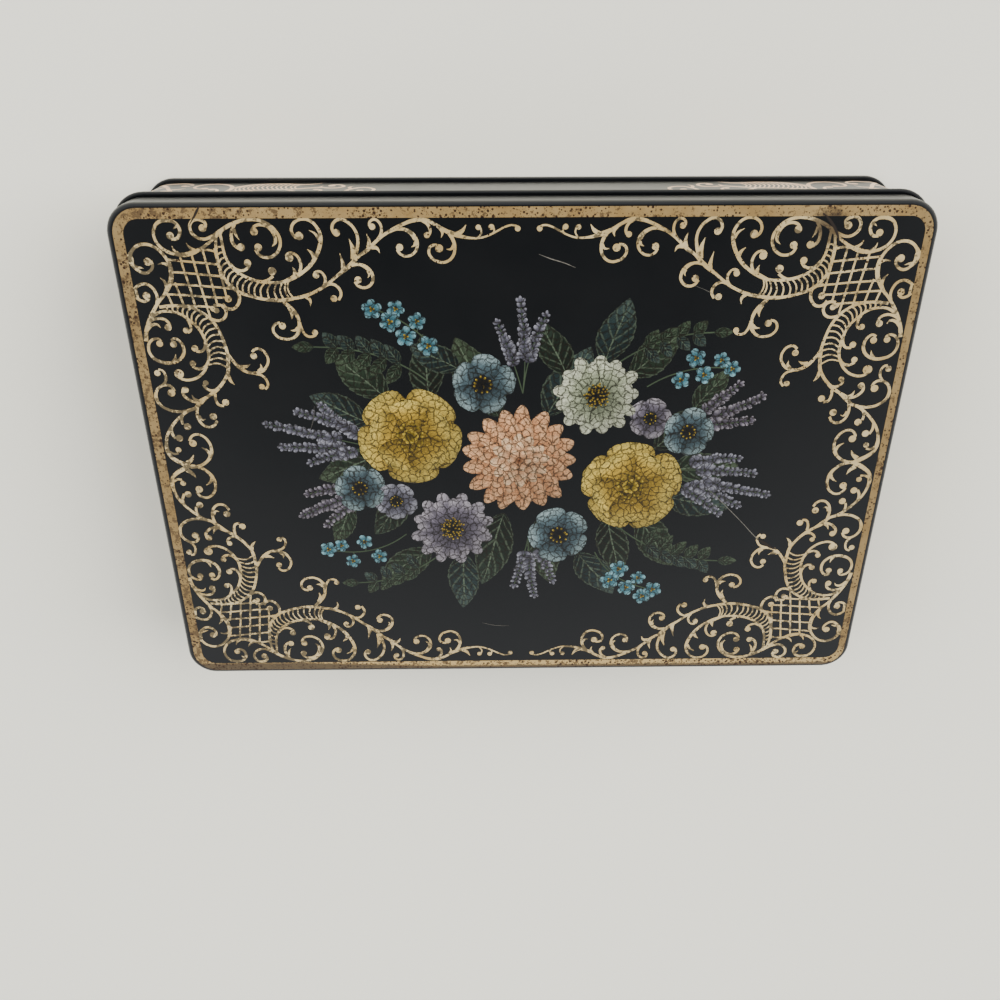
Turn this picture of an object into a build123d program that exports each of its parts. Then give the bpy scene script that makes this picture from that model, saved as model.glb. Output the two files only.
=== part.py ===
from build123d import *
import os
from math import sqrt

# A flat tinplate candy tin with a loose slip-over lid, lying on its bottom rim.
# X runs along the long side, Y along the short side and Z up through the lid.
# The origin is at the middle of the face that the tin lies on.
# All sizes are in millimetres.

# Overall
tin_height = 42.0
sheet = 0.3

# Lid
lid_length = 248.0
lid_width = 172.0
lid_corner = 9.5
lid_depth = 11.6
shoulder_radius = 1.6
curl_radius = 0.85
curl_turn = 305.0

# Body
lid_clearance = 0.35
lid_seat_gap = 0.1
hem_depth = 4.0
hem_edge = 0.2

# Bottom seam, where the bottom panel grips the body's turned-out foot
rim_reach = 1.3
rim_height = 2.4
rim_round = 0.7
seam_gap = 0.03
bottom_recess = 2.6

# Side seam of the body, locked on the inside of one long wall
side_seam_width = 3.4
side_seam_depth = 0.55
side_seam_place = 38.0
side_seam_end_gap = 0.4
score_width = 0.3
score_depth = 0.12

# Sizes that follow from the ones above
body_length = lid_length - 2 * (sheet + lid_clearance)
body_width = lid_width - 2 * (sheet + lid_clearance)
body_corner = lid_corner - sheet - lid_clearance

# The lid's shoulder comes down on the rounded outer edge of the hem
hem_inset = max(shoulder_radius - sheet - lid_clearance - hem_edge, 0)
hem_room = shoulder_radius - sheet - hem_edge - lid_seat_gap
hem_rise = sqrt(hem_room**2 - hem_inset**2)
body_top = tin_height - shoulder_radius + hem_rise + hem_edge

lid_edge = tin_height - lid_depth
curl_middle = lid_edge + curl_radius
panel_top = bottom_recess + sheet


def outline_face(lines):
    """Fill a closed outline drawn as (distance out from the wall, height)."""
    return Plane.XZ * make_face(lines)


def wall_ring(section, length, width, corner):
    """Run a wall section round a rectangle with rounded corners.

    The section's zero lies on the rectangle, and its plus side faces outwards.
    """
    run_x = length / 2 - corner
    run_y = width / 2 - corner
    long_side = Pos(length / 2, run_y, 0) * extrude(section, 2 * run_y)
    cross_side = Pos(width / 2, run_x, 0) * extrude(section, 2 * run_x)
    bend = revolve(Pos(corner, 0, 0) * section, Axis.Z, 90)
    ring = long_side + Rot(0, 0, 180) * long_side
    ring += Rot(0, 0, 90) * cross_side
    ring += Rot(0, 0, 270) * cross_side
    for turn, x, y in ((0, 1, 1), (90, -1, 1), (180, -1, -1), (270, 1, -1)):
        ring += Pos(x * run_x, y * run_y, 0) * Rot(0, 0, turn) * bend
    return ring


def flat_sheet(length, width, corner, low):
    """A flat panel one sheet thick."""
    return Pos(0, 0, low) * extrude(RectangleRounded(length, width, corner), sheet)


def lid_section():
    """Rounded shoulder, plain skirt and an outward curl along the edge."""
    centre = (-shoulder_radius, tin_height - shoulder_radius)
    curl_centre = (curl_radius - sheet, curl_middle)
    outer_curl = CenterArc(curl_centre, curl_radius, 180, curl_turn)
    inner_curl = CenterArc(curl_centre, curl_radius - sheet, 180, curl_turn)
    shoulder = CenterArc(centre, shoulder_radius, 0, 90)
    inner_shoulder = CenterArc(centre, shoulder_radius - sheet, 0, 90)
    return outline_face(
        shoulder
        + Line(shoulder @ 1, inner_shoulder @ 1)
        + inner_shoulder
        + Line(inner_shoulder @ 0, outer_curl @ 0)
        + outer_curl
        + Line(outer_curl @ 1, inner_curl @ 1)
        + inner_curl
        + Line(inner_curl @ 0, shoulder @ 0)
    )


def make_lid():
    """The drawn lid: one sheet, flat on top, with its skirt curled outwards."""
    inset = 2 * shoulder_radius
    top = flat_sheet(
        lid_length - inset,
        lid_width - inset,
        lid_corner - shoulder_radius,
        tin_height - sheet,
    )
    return top + wall_ring(lid_section(), lid_length, lid_width, lid_corner)


def rim_channel(gap):
    """Half a rounded box that the seam's two pieces share, as lines from the wall out.

    The gap draws it in from the inner face of the bottom panel's rim.
    """
    reach = rim_reach - sheet - gap
    low = sheet
    high = rim_height - sheet - gap
    bend = rim_round - sheet - gap
    lower = CenterArc((reach - bend, low + bend), bend, 270, 90)
    upper = CenterArc((reach - bend, high - bend), bend, 0, 90)
    return lower, Line(lower @ 1, upper @ 0), upper


def wall_section():
    """Upright wall with an inward hem on top and a turned-out foot below."""
    hem = 2 * sheet
    lower, side, upper = rim_channel(seam_gap)
    top = body_top
    inner_turn = CenterArc((hem_edge - hem, top - hem_edge), hem_edge, 90, 90)
    outer_turn = CenterArc((-hem_edge, top - hem_edge), hem_edge, 0, 90)
    return outline_face(
        Line((-sheet, sheet), lower @ 0)
        + lower
        + side
        + upper
        + Line(upper @ 1, (0, rim_height - sheet - seam_gap))
        + Line((0, rim_height - sheet - seam_gap), outer_turn @ 0)
        + outer_turn
        + Line(outer_turn @ 1, inner_turn @ 0)
        + inner_turn
        + Line(inner_turn @ 1, (-hem, top - hem_depth))
        + Line((-hem, top - hem_depth), (-sheet, top - hem_depth))
        + Line((-sheet, top - hem_depth), (-sheet, sheet))
    )


def make_body_wall():
    """The rolled strip: wall, hem, foot and the locked seam that closes the strip."""
    wall = wall_ring(wall_section(), body_length, body_width, body_corner)
    outside = -body_width / 2
    low = panel_top + side_seam_end_gap
    high = body_top - hem_depth
    lock = Pos(side_seam_place, outside + sheet, low) * Box(
        side_seam_width,
        side_seam_depth,
        high - low,
        align=(Align.CENTER, Align.MIN, Align.MIN),
    )
    score = Pos(side_seam_place - side_seam_width / 2, outside, rim_height) * Box(
        score_width,
        2 * score_depth,
        body_top - rim_height,
        align=(Align.CENTER, Align.CENTER, Align.MIN),
    )
    return wall + lock - score


def bottom_section():
    """Upright wall inside the body, a flat foot and a rim closed over the body's foot."""
    low = CenterArc((rim_reach - rim_round, rim_round), rim_round, 270, 90)
    high = CenterArc((rim_reach - rim_round, rim_height - rim_round), rim_round, 0, 90)
    inner_low, inner_side, inner_high = rim_channel(0)
    inside = -sheet - seam_gap
    return outline_face(
        Line((inside - sheet, 0), low @ 0)
        + low
        + Line(low @ 1, high @ 0)
        + high
        + Line(high @ 1, (seam_gap, rim_height))
        + Line((seam_gap, rim_height), (seam_gap, rim_height - sheet))
        + Line((seam_gap, rim_height - sheet), inner_high @ 1)
        + inner_high
        + inner_side
        + inner_low
        + Line(inner_low @ 0, (inside, sheet))
        + Line((inside, sheet), (inside, panel_top))
        + Line((inside, panel_top), (inside - sheet, panel_top))
        + Line((inside - sheet, panel_top), (inside - sheet, 0))
    )


def make_bottom_panel():
    """The bottom: a recessed flat panel whose edge grips the body's foot."""
    inset = 2 * (2 * sheet + seam_gap)
    panel = flat_sheet(
        body_length - inset,
        body_width - inset,
        body_corner - inset / 2,
        bottom_recess,
    )
    return panel + wall_ring(bottom_section(), body_length, body_width, body_corner)


pieces = {
    "lid": make_lid(),
    "body_wall": make_body_wall(),
    "bottom_panel": make_bottom_panel(),
}

os.makedirs("parts", exist_ok=True)
for name, piece in pieces.items():
    export_step(piece, f"parts/{name}.step")
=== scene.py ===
import math
import random

import bpy
from mathutils import Matrix, Vector


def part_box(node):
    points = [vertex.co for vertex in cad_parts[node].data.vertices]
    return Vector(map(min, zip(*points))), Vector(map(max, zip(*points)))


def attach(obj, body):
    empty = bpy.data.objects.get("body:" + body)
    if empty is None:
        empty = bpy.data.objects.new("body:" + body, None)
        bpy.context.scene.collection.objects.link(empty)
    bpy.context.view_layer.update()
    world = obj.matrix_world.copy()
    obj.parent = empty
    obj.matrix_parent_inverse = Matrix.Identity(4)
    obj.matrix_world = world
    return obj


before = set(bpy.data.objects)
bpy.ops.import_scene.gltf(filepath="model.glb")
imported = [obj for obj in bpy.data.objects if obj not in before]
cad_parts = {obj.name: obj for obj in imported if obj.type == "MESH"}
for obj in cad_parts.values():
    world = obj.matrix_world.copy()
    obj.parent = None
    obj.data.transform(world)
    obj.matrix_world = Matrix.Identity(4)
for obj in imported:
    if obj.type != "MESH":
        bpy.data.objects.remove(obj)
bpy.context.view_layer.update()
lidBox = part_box("lid")
print("frame loaded")

millimetre = 0.001
curlReach = 1.4  # how far the lid's curl stands out of its skirt
skirtHalfX = (lidBox[1][0] - lidBox[0][0]) / 2 / millimetre - curlReach
skirtHalfY = (lidBox[1][1] - lidBox[0][1]) / 2 / millimetre - curlReach
lidTop = lidBox[1][2] / millimetre


# sRGB hex to the linear values that the shader sockets want
def linearColour(hexText):
    parts = [int(hexText[i : i + 2], 16) / 255 for i in (0, 2, 4)]
    linear = [c / 12.92 if c <= 0.04045 else ((c + 0.055) / 1.055) ** 2.4 for c in parts]
    return (*linear, 1.0)


# Add one node: its own settings, fixed inputs and incoming links
def addNode(tree, kind, settings=None, inputs=None, links=None):
    node = tree.nodes.new(kind)
    for name, value in (settings or {}).items():
        setattr(node, name, value)
    for key, value in (inputs or {}).items():
        node.inputs[key].default_value = value
    for key, source in (links or {}).items():
        tree.links.new(source, node.inputs[key])
    return node


# Mix two colours, each a hex text or a link
def mixColour(tree, factor, first, second, mode="MIX"):
    node = addNode(tree, "ShaderNodeMix", {"data_type": "RGBA", "blend_type": mode})
    for key, value in ((0, factor), (6, first), (7, second)):
        if isinstance(value, str):
            node.inputs[key].default_value = linearColour(value)
        elif isinstance(value, float):
            node.inputs[key].default_value = value
        else:
            tree.links.new(value, node.inputs[key])
    return node.outputs[2]


# A place as the piece itself has it, so that nothing slides when a part moves
def ownPlace(tree):
    return addNode(tree, "ShaderNodeTexCoord").outputs["Object"]


def addNoise(tree, place, scale, detail, roughness=0.5, output="Fac"):
    inputs = {"Scale": scale, "Detail": detail, "Roughness": roughness}
    return addNode(tree, "ShaderNodeTexNoise", None, inputs, {"Vector": place}).outputs[output]


# Turn one span of values into another, straight or eased
def addRange(tree, value, source, result, eased=False):
    settings = {"interpolation_type": "SMOOTHSTEP"} if eased else None
    ends = {"From Min": source[0], "From Max": source[1], "To Min": result[0], "To Max": result[1]}
    return addNode(tree, "ShaderNodeMapRange", settings, ends, {"Value": value}).outputs["Result"]


# One sum of links and numbers
def addMath(tree, operation, *values, clamp=False):
    node = addNode(tree, "ShaderNodeMath", {"operation": operation, "use_clamp": clamp})
    for socket, value in zip(node.inputs, values):
        if isinstance(value, float):
            socket.default_value = value
        else:
            tree.links.new(value, socket)
    return node.outputs[0]


def splitPlace(tree, place):
    return addNode(tree, "ShaderNodeSeparateXYZ", links={0: place}).outputs


def deselectAll():
    for item in bpy.context.selected_objects:
        item.select_set(False)


def makeActive(item):
    deselectAll()
    item.select_set(True)
    bpy.context.view_layer.objects.active = item


def newMaterial(name):
    material = bpy.data.materials.new(name)
    material.use_nodes = True
    return material, material.node_tree, material.node_tree.nodes["Principled BSDF"]


def dress(item, *materials):
    item.data.materials.clear()
    for material in materials:
        item.data.materials.append(material)


# The photograph's own camera, fitted to the tin's outlines
view = {
    "focalPixels": 922.3,
    "framePixels": 1000.0,
    "sensor": 36.0,
    "near": 0.01,
    "far": 50,
    "tilt": 27.86,
    "turn": 0.744,
    "roll": 0.093,
    "offset": (7.406, 11.449, -310.149),  # the lid's middle as the camera sees it
}


def placeCamera():
    data = bpy.data.cameras.new("photoCamera")
    data.sensor_width = view["sensor"]
    data.lens = view["focalPixels"] / view["framePixels"] * data.sensor_width
    data.clip_start = view["near"]
    data.clip_end = view["far"]
    camera = bpy.data.objects.new("photoCamera", data)
    bpy.context.collection.objects.link(camera)
    tilt = Matrix.Rotation(math.radians(view["tilt"]), 4, "X")
    turn = Matrix.Rotation(math.radians(view["turn"]), 4, "Y")
    roll = Matrix.Rotation(math.radians(view["roll"]), 4, "Z")
    lidToCamera = Matrix.Translation(Vector(view["offset"]) * millimetre) @ roll @ tilt @ turn
    toLid = Matrix.Translation((0, 0, -lidTop * millimetre))
    camera.matrix_world = (lidToCamera @ toLid).inverted()
    bpy.context.scene.camera = camera


placeCamera()
print("camera placed")

studio = {
    "floorColour": "fcfcf1",
    "floorRoughness": 0.85,
    "floorSize": 40.0,
    "horizonColour": "f2f3f3",
    # two broad windows, hidden from the lacquer's reflections: direction and power
    "windows": {
        "windowLight": ((0.75, 0.42, 0.5), 4.8),
        "fillLight": ((-0.75, 0.42, 0.5), 2.6),
    },
    "windowColour": "fffbf3",
    "windowSpread": 55.0,
    # room brightness by height above the horizon (0 level, 1 overhead)
    "room": ((0.0, 1.12), (0.45, 0.95), (0.7, 0.92), (0.8, 0.78), (0.89, 0.17), (0.95, 0.03),
             (1.0, 0.01)),
}


# A pale room that is darker overhead, which is what the lacquer mirrors
def makeRoom():
    world = bpy.data.worlds.new("studioRoom")
    world.use_nodes = True
    tree = world.node_tree
    background = tree.nodes["Background"]
    way = addNode(tree, "ShaderNodeTexCoord").outputs["Generated"]
    ramp = addNode(tree, "ShaderNodeValToRGB", links={"Fac": splitPlace(tree, way)["Z"]})
    marks = ramp.color_ramp.elements
    while len(marks) < len(studio["room"]):
        marks.new(0.5)
    for mark, (place, bright) in zip(marks, studio["room"]):
        mark.position = place
        mark.color = (bright, bright, bright, 1)
    shade = mixColour(tree, 1.0, studio["horizonColour"], ramp.outputs["Color"], "MULTIPLY")
    tree.links.new(shade, background.inputs["Color"])
    bpy.context.scene.world = world


def makeStudio():
    bpy.ops.mesh.primitive_plane_add(size=studio["floorSize"])
    floor = bpy.context.active_object
    floor.name = "studioFloor"
    paper, shader = newMaterial("paperFloor")[::2]  # matt pale board
    shader.inputs["Base Color"].default_value = linearColour(studio["floorColour"])
    shader.inputs["Roughness"].default_value = studio["floorRoughness"]
    dress(floor, paper)
    for name, (direction, power) in studio["windows"].items():
        window = bpy.data.lights.new(name, "SUN")
        window.energy = power
        window.color = linearColour(studio["windowColour"])[:3]
        window.angle = math.radians(studio["windowSpread"])
        holder = bpy.data.objects.new(name, window)
        bpy.context.collection.objects.link(holder)
        holder.visible_glossy = False  # as through a polarised screen: no glare on the lacquer
        holder.rotation_euler = (-Vector(direction)).to_track_quat("-Z", "Y").to_euler()


makeRoom()
makeStudio()
print("studio ready")

corners = {"BackLeft": (-1, 1), "BackRight": (1, 1), "FrontLeft": (-1, -1), "FrontRight": (1, -1)}

# Gold scrollwork of one quarter of the lid. Points are millimetres from the lid's left
# and top edges with the line's width, which is usualWidth where none is given, and a
# knob is a round end with its radius.
scroll = {
    # each quarter's print: its shift from its corner and its stretch along X, then along Y
    "BackLeft": (0.07, 0.0, 0.23, 0.0),
    "BackRight": (-0.85, -0.0125, 0.25, 0.0),
    "FrontLeft": (-0.3, -0.0105, 0.6, 0.012),
    "FrontRight": (-0.8, -0.012, 0.5, 0.008),
    "lift": 0.012,  # mm, the lowest ink film over the lacquer
    "step": 0.0009,  # mm, from one line's film to the next, so that no two lie in one plane
    "levels": 13,  # films before the first height comes back
    "knobLevel": 6.5,
    "flatten": 0.004,
    "usualWidth": 0.9,
    "latticeWidth": 0.66,
    "lineScale": 0.98,
    "knobScale": 0.95,
    "knobSegments": 16,
    "knobRings": 6,
}

quarterLines = [
    # loop in the corner, top
    [(18.2, 4.7, 1.2), (15.8, 5.5, 1.0), (14.4, 7.4, 0.95), (14.1, 9.6), (14.9, 11.8),
     (16.7, 13.6, 0.95), (19.3, 14.6, 1.0), (22.0, 14.9, 1.3), (24.6, 14.3, 1.5), (27.2, 13.2, 1.0),
     (29.6, 11.7), (31.8, 10.0), (34.2, 8.1, 1.0)],
    [(18.0, 4.7, 1.2), (20.4, 5.2, 1.0), (21.8, 6.8, 1.0), (21.8, 8.7, 1.0), (20.7, 10.1, 1.0),
     (19.0, 10.2)],
    [(21.5, 6.4, 0.8), (20.8, 6.8, 0.6), (20.1, 7.3, 0.1)],
    [(18.9, 12.2, 0.15), (19.3, 13.4, 0.6), (20.6, 14.6, 1.0)],
    [(23.3, 11.4, 0.15), (24.0, 12.6, 0.7), (25.6, 13.7, 1.1)],
    # curl beside it and the long line over the big circle
    [(29.6, 6.9, 0.8), (29.8, 5.8, 0.95), (28.7, 4.8, 1.0), (27.0, 4.6, 1.0), (25.5, 5.6, 0.95),
     (25.1, 7.6, 0.95), (26.3, 9.5), (28.5, 10.3), (31.0, 9.6, 0.95), (33.6, 8.1, 1.1),
     (36.2, 6.6, 1.2), (39.0, 5.4, 1.1), (42.0, 4.7, 1.1), (45.0, 4.8, 1.0), (47.8, 5.8, 0.95),
     (50.1, 7.9, 0.95), (51.2, 10.5, 0.95), (50.7, 13.2), (48.9, 15.2), (46.6, 15.8), (44.5, 15.0),
     (43.6, 13.4)],
    [(48.6, 12.6, 0.1), (49.8, 11.2, 1.0), (49.6, 9.1, 1.05), (48.3, 7.1), (46.2, 6.2), (44.2, 6.6),
     (43.1, 7.9)],
    [(38.4, 6.0), (37.4, 7.6, 1.0), (36.9, 9.8, 1.0), (37.3, 11.8, 1.0), (38.7, 13.2)],
    [(38.0, 7.4), (38.3, 9.0, 0.8), (39.2, 10.6, 0.1)],
    [(35.4, 17.6), (36.6, 19.0), (38.4, 19.7), (40.2, 19.2), (41.3, 18.0, 0.8)],
    [(44.0, 23.2), (46.2, 22.6), (47.9, 21.4)],
    # the circle on the band beyond, with its leaf tips
    [(50.6, 23.3), (52.6, 22.5, 1.3), (55.0, 21.3, 1.5), (57.5, 19.9, 1.0), (59.7, 17.9, 1.2),
     (61.6, 15.2, 1.2), (62.9, 12.2, 1.2), (63.3, 9.4, 1.1), (62.4, 6.9), (60.6, 5.1),
     (58.4, 4.6, 0.95), (56.3, 5.3), (55.0, 7.0), (55.1, 8.9), (56.3, 10.2)],
    [(62.9, 10.6, 1.1), (61.7, 8.8, 0.7), (60.0, 7.8, 0.1)],
    [(61.0, 16.0, 1.4), (60.3, 14.6, 1.0), (59.0, 13.4, 0.15)],
    [(54.6, 21.4, 1.5), (54.6, 20.1, 1.1), (54.1, 18.7, 0.15)],
    [(55.9, 20.6), (56.6, 18.4), (56.2, 16.1, 0.85), (54.9, 14.7, 0.8), (53.3, 14.6, 0.8),
     (52.4, 15.5, 0.8)],
    # the long arm to the middle of the side
    [(46.0, 28.7, 1.0), (49.5, 28.8, 1.2), (53.2, 28.3, 1.0), (57.0, 27.5, 1.1), (60.0, 26.3),
     (62.8, 24.8, 1.0), (65.0, 23.2), (67.4, 21.3), (69.9, 19.5, 1.3), (72.3, 17.4, 1.3),
     (74.4, 15.4), (76.8, 13.8, 1.2), (79.2, 11.6, 1.0), (81.8, 9.5, 0.95), (85.0, 7.6, 1.0),
     (88.2, 6.1, 1.0), (91.2, 5.1, 1.2), (94.4, 5.0, 1.2), (97.2, 6.2, 1.0), (99.8, 7.8, 1.2),
     (102.4, 9.0, 1.5), (105.0, 9.8, 1.1), (107.8, 10.3, 0.7), (110.6, 10.3, 0.6),
     (113.4, 9.5, 0.6), (116.0, 8.2, 0.6), (118.4, 7.0, 0.6), (120.6, 6.6, 0.6), (122.2, 7.2, 0.6)],
    [(50.2, 29.3, 1.0), (52.0, 31.1, 1.3), (53.6, 33.2, 1.2), (54.3, 35.4, 1.0), (54.2, 37.8, 1.5),
     (53.2, 39.8, 1.0), (51.4, 41.0, 0.85), (49.0, 41.1, 0.85), (47.0, 40.2, 0.85),
     (46.0, 38.2, 0.85), (46.8, 36.4, 0.85), (48.4, 35.9, 0.85)],
    [(51.6, 31.2, 1.2), (52.4, 32.9, 1.2), (52.1, 34.8, 0.2)],
    [(53.8, 37.7, 1.4), (52.9, 38.3), (51.4, 38.4, 0.15)],
    [(54.6, 37.0, 1.0), (55.3, 38.9, 0.8), (56.4, 40.2, 0.8), (57.9, 40.4, 0.8), (59.2, 39.8, 0.8)],
    [(57.2, 27.7, 1.2), (58.4, 28.9), (58.3, 30.8, 0.12)],
    [(62.6, 24.9, 0.8), (63.6, 22.8), (63.1, 20.9, 0.8), (61.7, 20.0, 0.8), (60.4, 20.5, 0.8)],
    [(63.2, 24.5, 0.8), (65.4, 23.9), (67.3, 25.0), (68.0, 27.0), (67.1, 28.9, 0.8)],
    [(69.4, 19.8, 1.7), (69.3, 17.7, 1.1), (68.6, 14.6, 0.12)],
    [(71.5, 18.3, 1.0), (74.2, 18.0), (76.6, 19.2, 1.3), (78.0, 21.4, 1.0), (77.6, 23.7),
     (75.7, 25.0), (73.6, 24.6), (72.5, 23.2)],
    [(76.8, 20.0, 1.1), (77.0, 21.2, 0.6), (76.5, 22.1, 0.1)],
    [(72.6, 16.6, 1.8), (72.6, 13.4, 1.4), (71.7, 10.4, 0.15)],
    [(73.1, 15.8, 1.2), (74.0, 13.0, 1.0), (74.3, 10.2), (73.5, 7.6), (71.7, 5.6), (69.6, 4.7, 1.0),
     (67.8, 5.4), (66.9, 7.2), (67.4, 8.9)],
    [(77.4, 13.2, 1.6), (77.6, 11.2, 1.0), (77.0, 8.9, 0.12)],
    [(78.0, 12.9, 1.5), (79.8, 13.2, 1.0), (80.6, 14.6, 0.12)],
    [(80.0, 10.9), (81.2, 9.1), (81.5, 7.2, 0.8), (80.8, 5.5, 0.8), (79.5, 4.8, 0.8),
     (78.2, 5.5, 0.8), (78.0, 6.8, 0.8)],
    [(83.6, 8.4), (86.4, 7.6), (89.2, 8.1, 1.1), (91.3, 10.2, 1.5), (91.9, 12.6), (90.9, 14.6, 0.8),
     (88.8, 15.6, 0.8), (86.8, 15.0, 0.8), (85.8, 13.6, 0.8)],
    [(91.4, 11.6, 1.0), (91.0, 12.4, 0.7), (90.1, 12.9, 0.1)],
    [(93.4, 5.1, 0.8), (95.2, 6.3), (95.9, 8.1), (95.6, 9.4, 0.8)],
    [(98.6, 7.2, 1.0), (99.5, 8.6), (99.1, 10.2, 0.12)],
    [(101.4, 8.8, 1.1), (102.6, 10.8, 1.1), (103.1, 13.4, 0.95), (102.3, 15.9), (100.2, 17.4, 0.85),
     (97.8, 17.2, 0.85), (95.9, 15.9, 0.85), (95.3, 13.9, 0.85), (96.1, 12.6, 0.85),
     (97.8, 12.3, 0.85)],
    [(102.8, 12.4, 1.0), (102.0, 13.5, 0.8), (100.6, 13.6, 0.12)],
    [(103.4, 9.4, 1.5), (105.4, 8.2, 1.2), (106.6, 6.4, 0.15)],
    [(110.2, 10.1, 0.45), (111.1, 8.8, 0.5), (110.9, 7.4, 0.5)],
    [(114.4, 9.1, 0.45), (114.9, 8.2, 0.5), (114.7, 7.2, 0.5)],
    # loops down the side
    [(5.6, 15.6, 1.6), (6.6, 13.9, 1.0), (8.4, 12.3, 0.95), (10.7, 11.7, 0.95), (13.0, 12.2),
     (15.0, 13.7), (16.5, 15.7, 0.95), (17.3, 17.8, 1.3), (17.4, 20.2, 1.4), (16.9, 22.6, 1.4),
     (15.6, 24.8, 1.5), (14.3, 26.8, 1.0), (12.4, 28.8), (10.4, 31.4, 1.1), (8.8, 33.9, 1.2),
     (7.5, 36.4, 1.2), (6.5, 39.0, 1.3), (6.0, 41.6, 1.4)],
    [(5.8, 14.6, 1.4), (5.9, 16.0, 1.9), (6.2, 17.6, 1.4), (7.4, 19.3, 0.95), (9.2, 20.3, 0.95),
     (11.2, 19.6), (12.2, 18.0), (11.9, 16.6)],
    [(6.8, 18.4, 1.0), (8.2, 18.6, 0.7), (9.4, 18.9, 0.1)],
    [(13.8, 17.7, 0.12), (15.2, 17.4, 0.6), (17.0, 17.9, 1.1)],
    [(13.8, 21.7, 0.12), (14.9, 22.9, 0.8), (15.4, 24.8, 1.2)],
    [(5.4, 25.2), (6.6, 24.2), (8.3, 23.6), (10.2, 24.1), (11.5, 25.8), (11.9, 27.8), (11.4, 29.8)],
    [(5.4, 27.6, 1.0), (6.6, 28.6), (8.1, 28.9), (9.4, 28.0)],
    [(5.8, 25.0, 0.8), (5.9, 26.6), (6.0, 28.0, 0.8)],
    # curls inside the side circle
    [(8.0, 35.4, 1.0), (10.0, 34.5), (12.2, 34.4), (13.8, 35.4), (14.3, 36.8, 0.8)],
    [(7.0, 38.0, 1.0), (8.8, 36.4, 1.0), (10.4, 36.3, 0.8), (11.3, 37.3, 0.12)],
    [(10.7, 41.8, 0.8), (10.0, 40.9, 0.8), (8.6, 40.9, 0.85), (7.2, 41.8), (6.4, 43.6, 0.95),
     (6.6, 45.8), (8.0, 47.6, 1.0), (10.4, 48.6, 1.1), (12.9, 48.7, 1.1), (15.3, 47.8, 1.0),
     (16.9, 46.0, 1.1), (17.3, 43.9, 1.0), (16.6, 41.9), (15.1, 40.8, 0.85), (13.8, 41.4, 0.85)],
    [(13.4, 48.4, 1.2), (14.2, 47.2, 0.8), (14.5, 45.9, 0.12)],
    [(19.8, 34.6, 0.8), (20.5, 36.2, 0.85), (20.5, 38.0, 0.8), (19.4, 39.0, 0.8)],
    [(24.4, 41.2), (24.2, 43.2, 1.0), (22.9, 44.9), (21.1, 45.0)],
    [(24.4, 48.4), (22.8, 50.3), (20.6, 50.7), (19.1, 49.8)],
    # the side arm to the middle of the short side
    [(30.8, 46.0, 1.2), (30.5, 49.2, 1.1), (30.0, 52.2, 1.2), (28.6, 54.6, 1.0), (26.8, 56.8, 1.1),
     (24.8, 58.6, 1.3), (22.4, 60.2, 1.0), (20.0, 61.9, 1.8), (17.8, 64.1, 1.0), (15.0, 65.2, 1.2),
     (12.8, 66.9, 0.95), (10.8, 68.7, 0.95), (8.9, 70.9, 0.95), (7.4, 73.3, 0.95), (6.5, 76.0, 1.0),
     (6.3, 78.6, 1.4), (7.0, 81.2, 1.2), (8.8, 82.9, 1.4), (11.0, 84.2, 1.6), (13.6, 85.4, 1.1)],
    [(29.9, 53.0, 1.4), (30.6, 55.0, 1.0), (31.6, 56.2, 0.12)],
    [(25.6, 57.9), (23.9, 58.1), (22.3, 57.3, 0.85), (21.7, 56.0, 0.85)],
    [(24.9, 59.2, 1.0), (24.9, 61.4), (25.7, 63.1), (27.2, 63.4)],
    [(19.6, 61.9, 1.3), (17.6, 61.8), (15.8, 60.8, 0.95), (14.7, 59.2, 1.0), (14.9, 57.6)],
    [(19.0, 61.8, 1.5), (18.0, 60.9), (17.4, 59.5, 0.12)],
    [(18.8, 63.0, 1.1), (18.2, 65.4, 1.0), (18.3, 67.9), (19.5, 70.0), (21.3, 70.8), (23.1, 70.2),
     (24.2, 68.6)],
    [(18.6, 66.8, 1.0), (19.5, 68.2, 0.7), (20.7, 68.0, 0.12)],
    [(17.6, 64.2), (14.2, 65.2, 1.0), (11.2, 65.2, 0.95), (8.7, 64.4, 0.95), (6.8, 62.9, 0.95),
     (5.9, 60.8, 1.2), (6.2, 58.6, 1.0), (7.5, 56.9), (9.5, 56.1), (11.3, 56.7), (12.1, 58.2)],
    [(8.8, 56.1), (9.9, 54.7, 0.8), (10.1, 52.8, 0.8), (9.4, 51.3, 0.8), (8.2, 50.9, 0.8)],
    [(13.4, 66.4), (12.8, 68.2, 0.85), (13.0, 69.9, 0.85)],
    [(9.0, 71.0), (8.9, 73.0, 0.95), (9.7, 74.9)],
    [(7.0, 79.6, 0.8), (8.4, 80.4, 0.8), (9.8, 80.2, 0.8)],
    [(12.2, 83.8, 1.7), (13.9, 82.3, 1.1), (14.7, 80.8, 0.15)],
    [(13.4, 85.4, 1.1), (16.0, 84.9, 1.1), (18.6, 83.4, 1.0), (20.3, 81.1, 1.3), (20.9, 78.4, 0.95),
     (20.3, 75.9), (18.8, 74.1, 0.85), (16.8, 73.4, 0.85), (15.0, 74.2, 0.85), (14.1, 75.8)],
    [(20.2, 80.6, 1.4), (19.3, 79.2), (17.7, 78.1, 0.15)],
    # the sprig towards the picture
    [(30.9, 46.2, 1.2), (32.2, 48.2, 0.95), (34.0, 50.4, 1.2), (36.2, 51.9, 1.0), (38.6, 52.3, 1.0),
     (41.0, 51.6, 1.1), (42.6, 50.0), (43.3, 47.9, 0.85), (42.8, 45.9, 0.85), (41.4, 44.5, 0.85),
     (39.8, 44.3, 0.85), (38.5, 45.3, 0.85)],
    [(34.4, 50.3, 1.6), (36.0, 50.1, 1.0), (37.5, 49.4, 0.15)],
    [(40.0, 51.8, 1.5), (40.8, 50.6), (40.7, 49.2, 0.12)],
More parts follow.
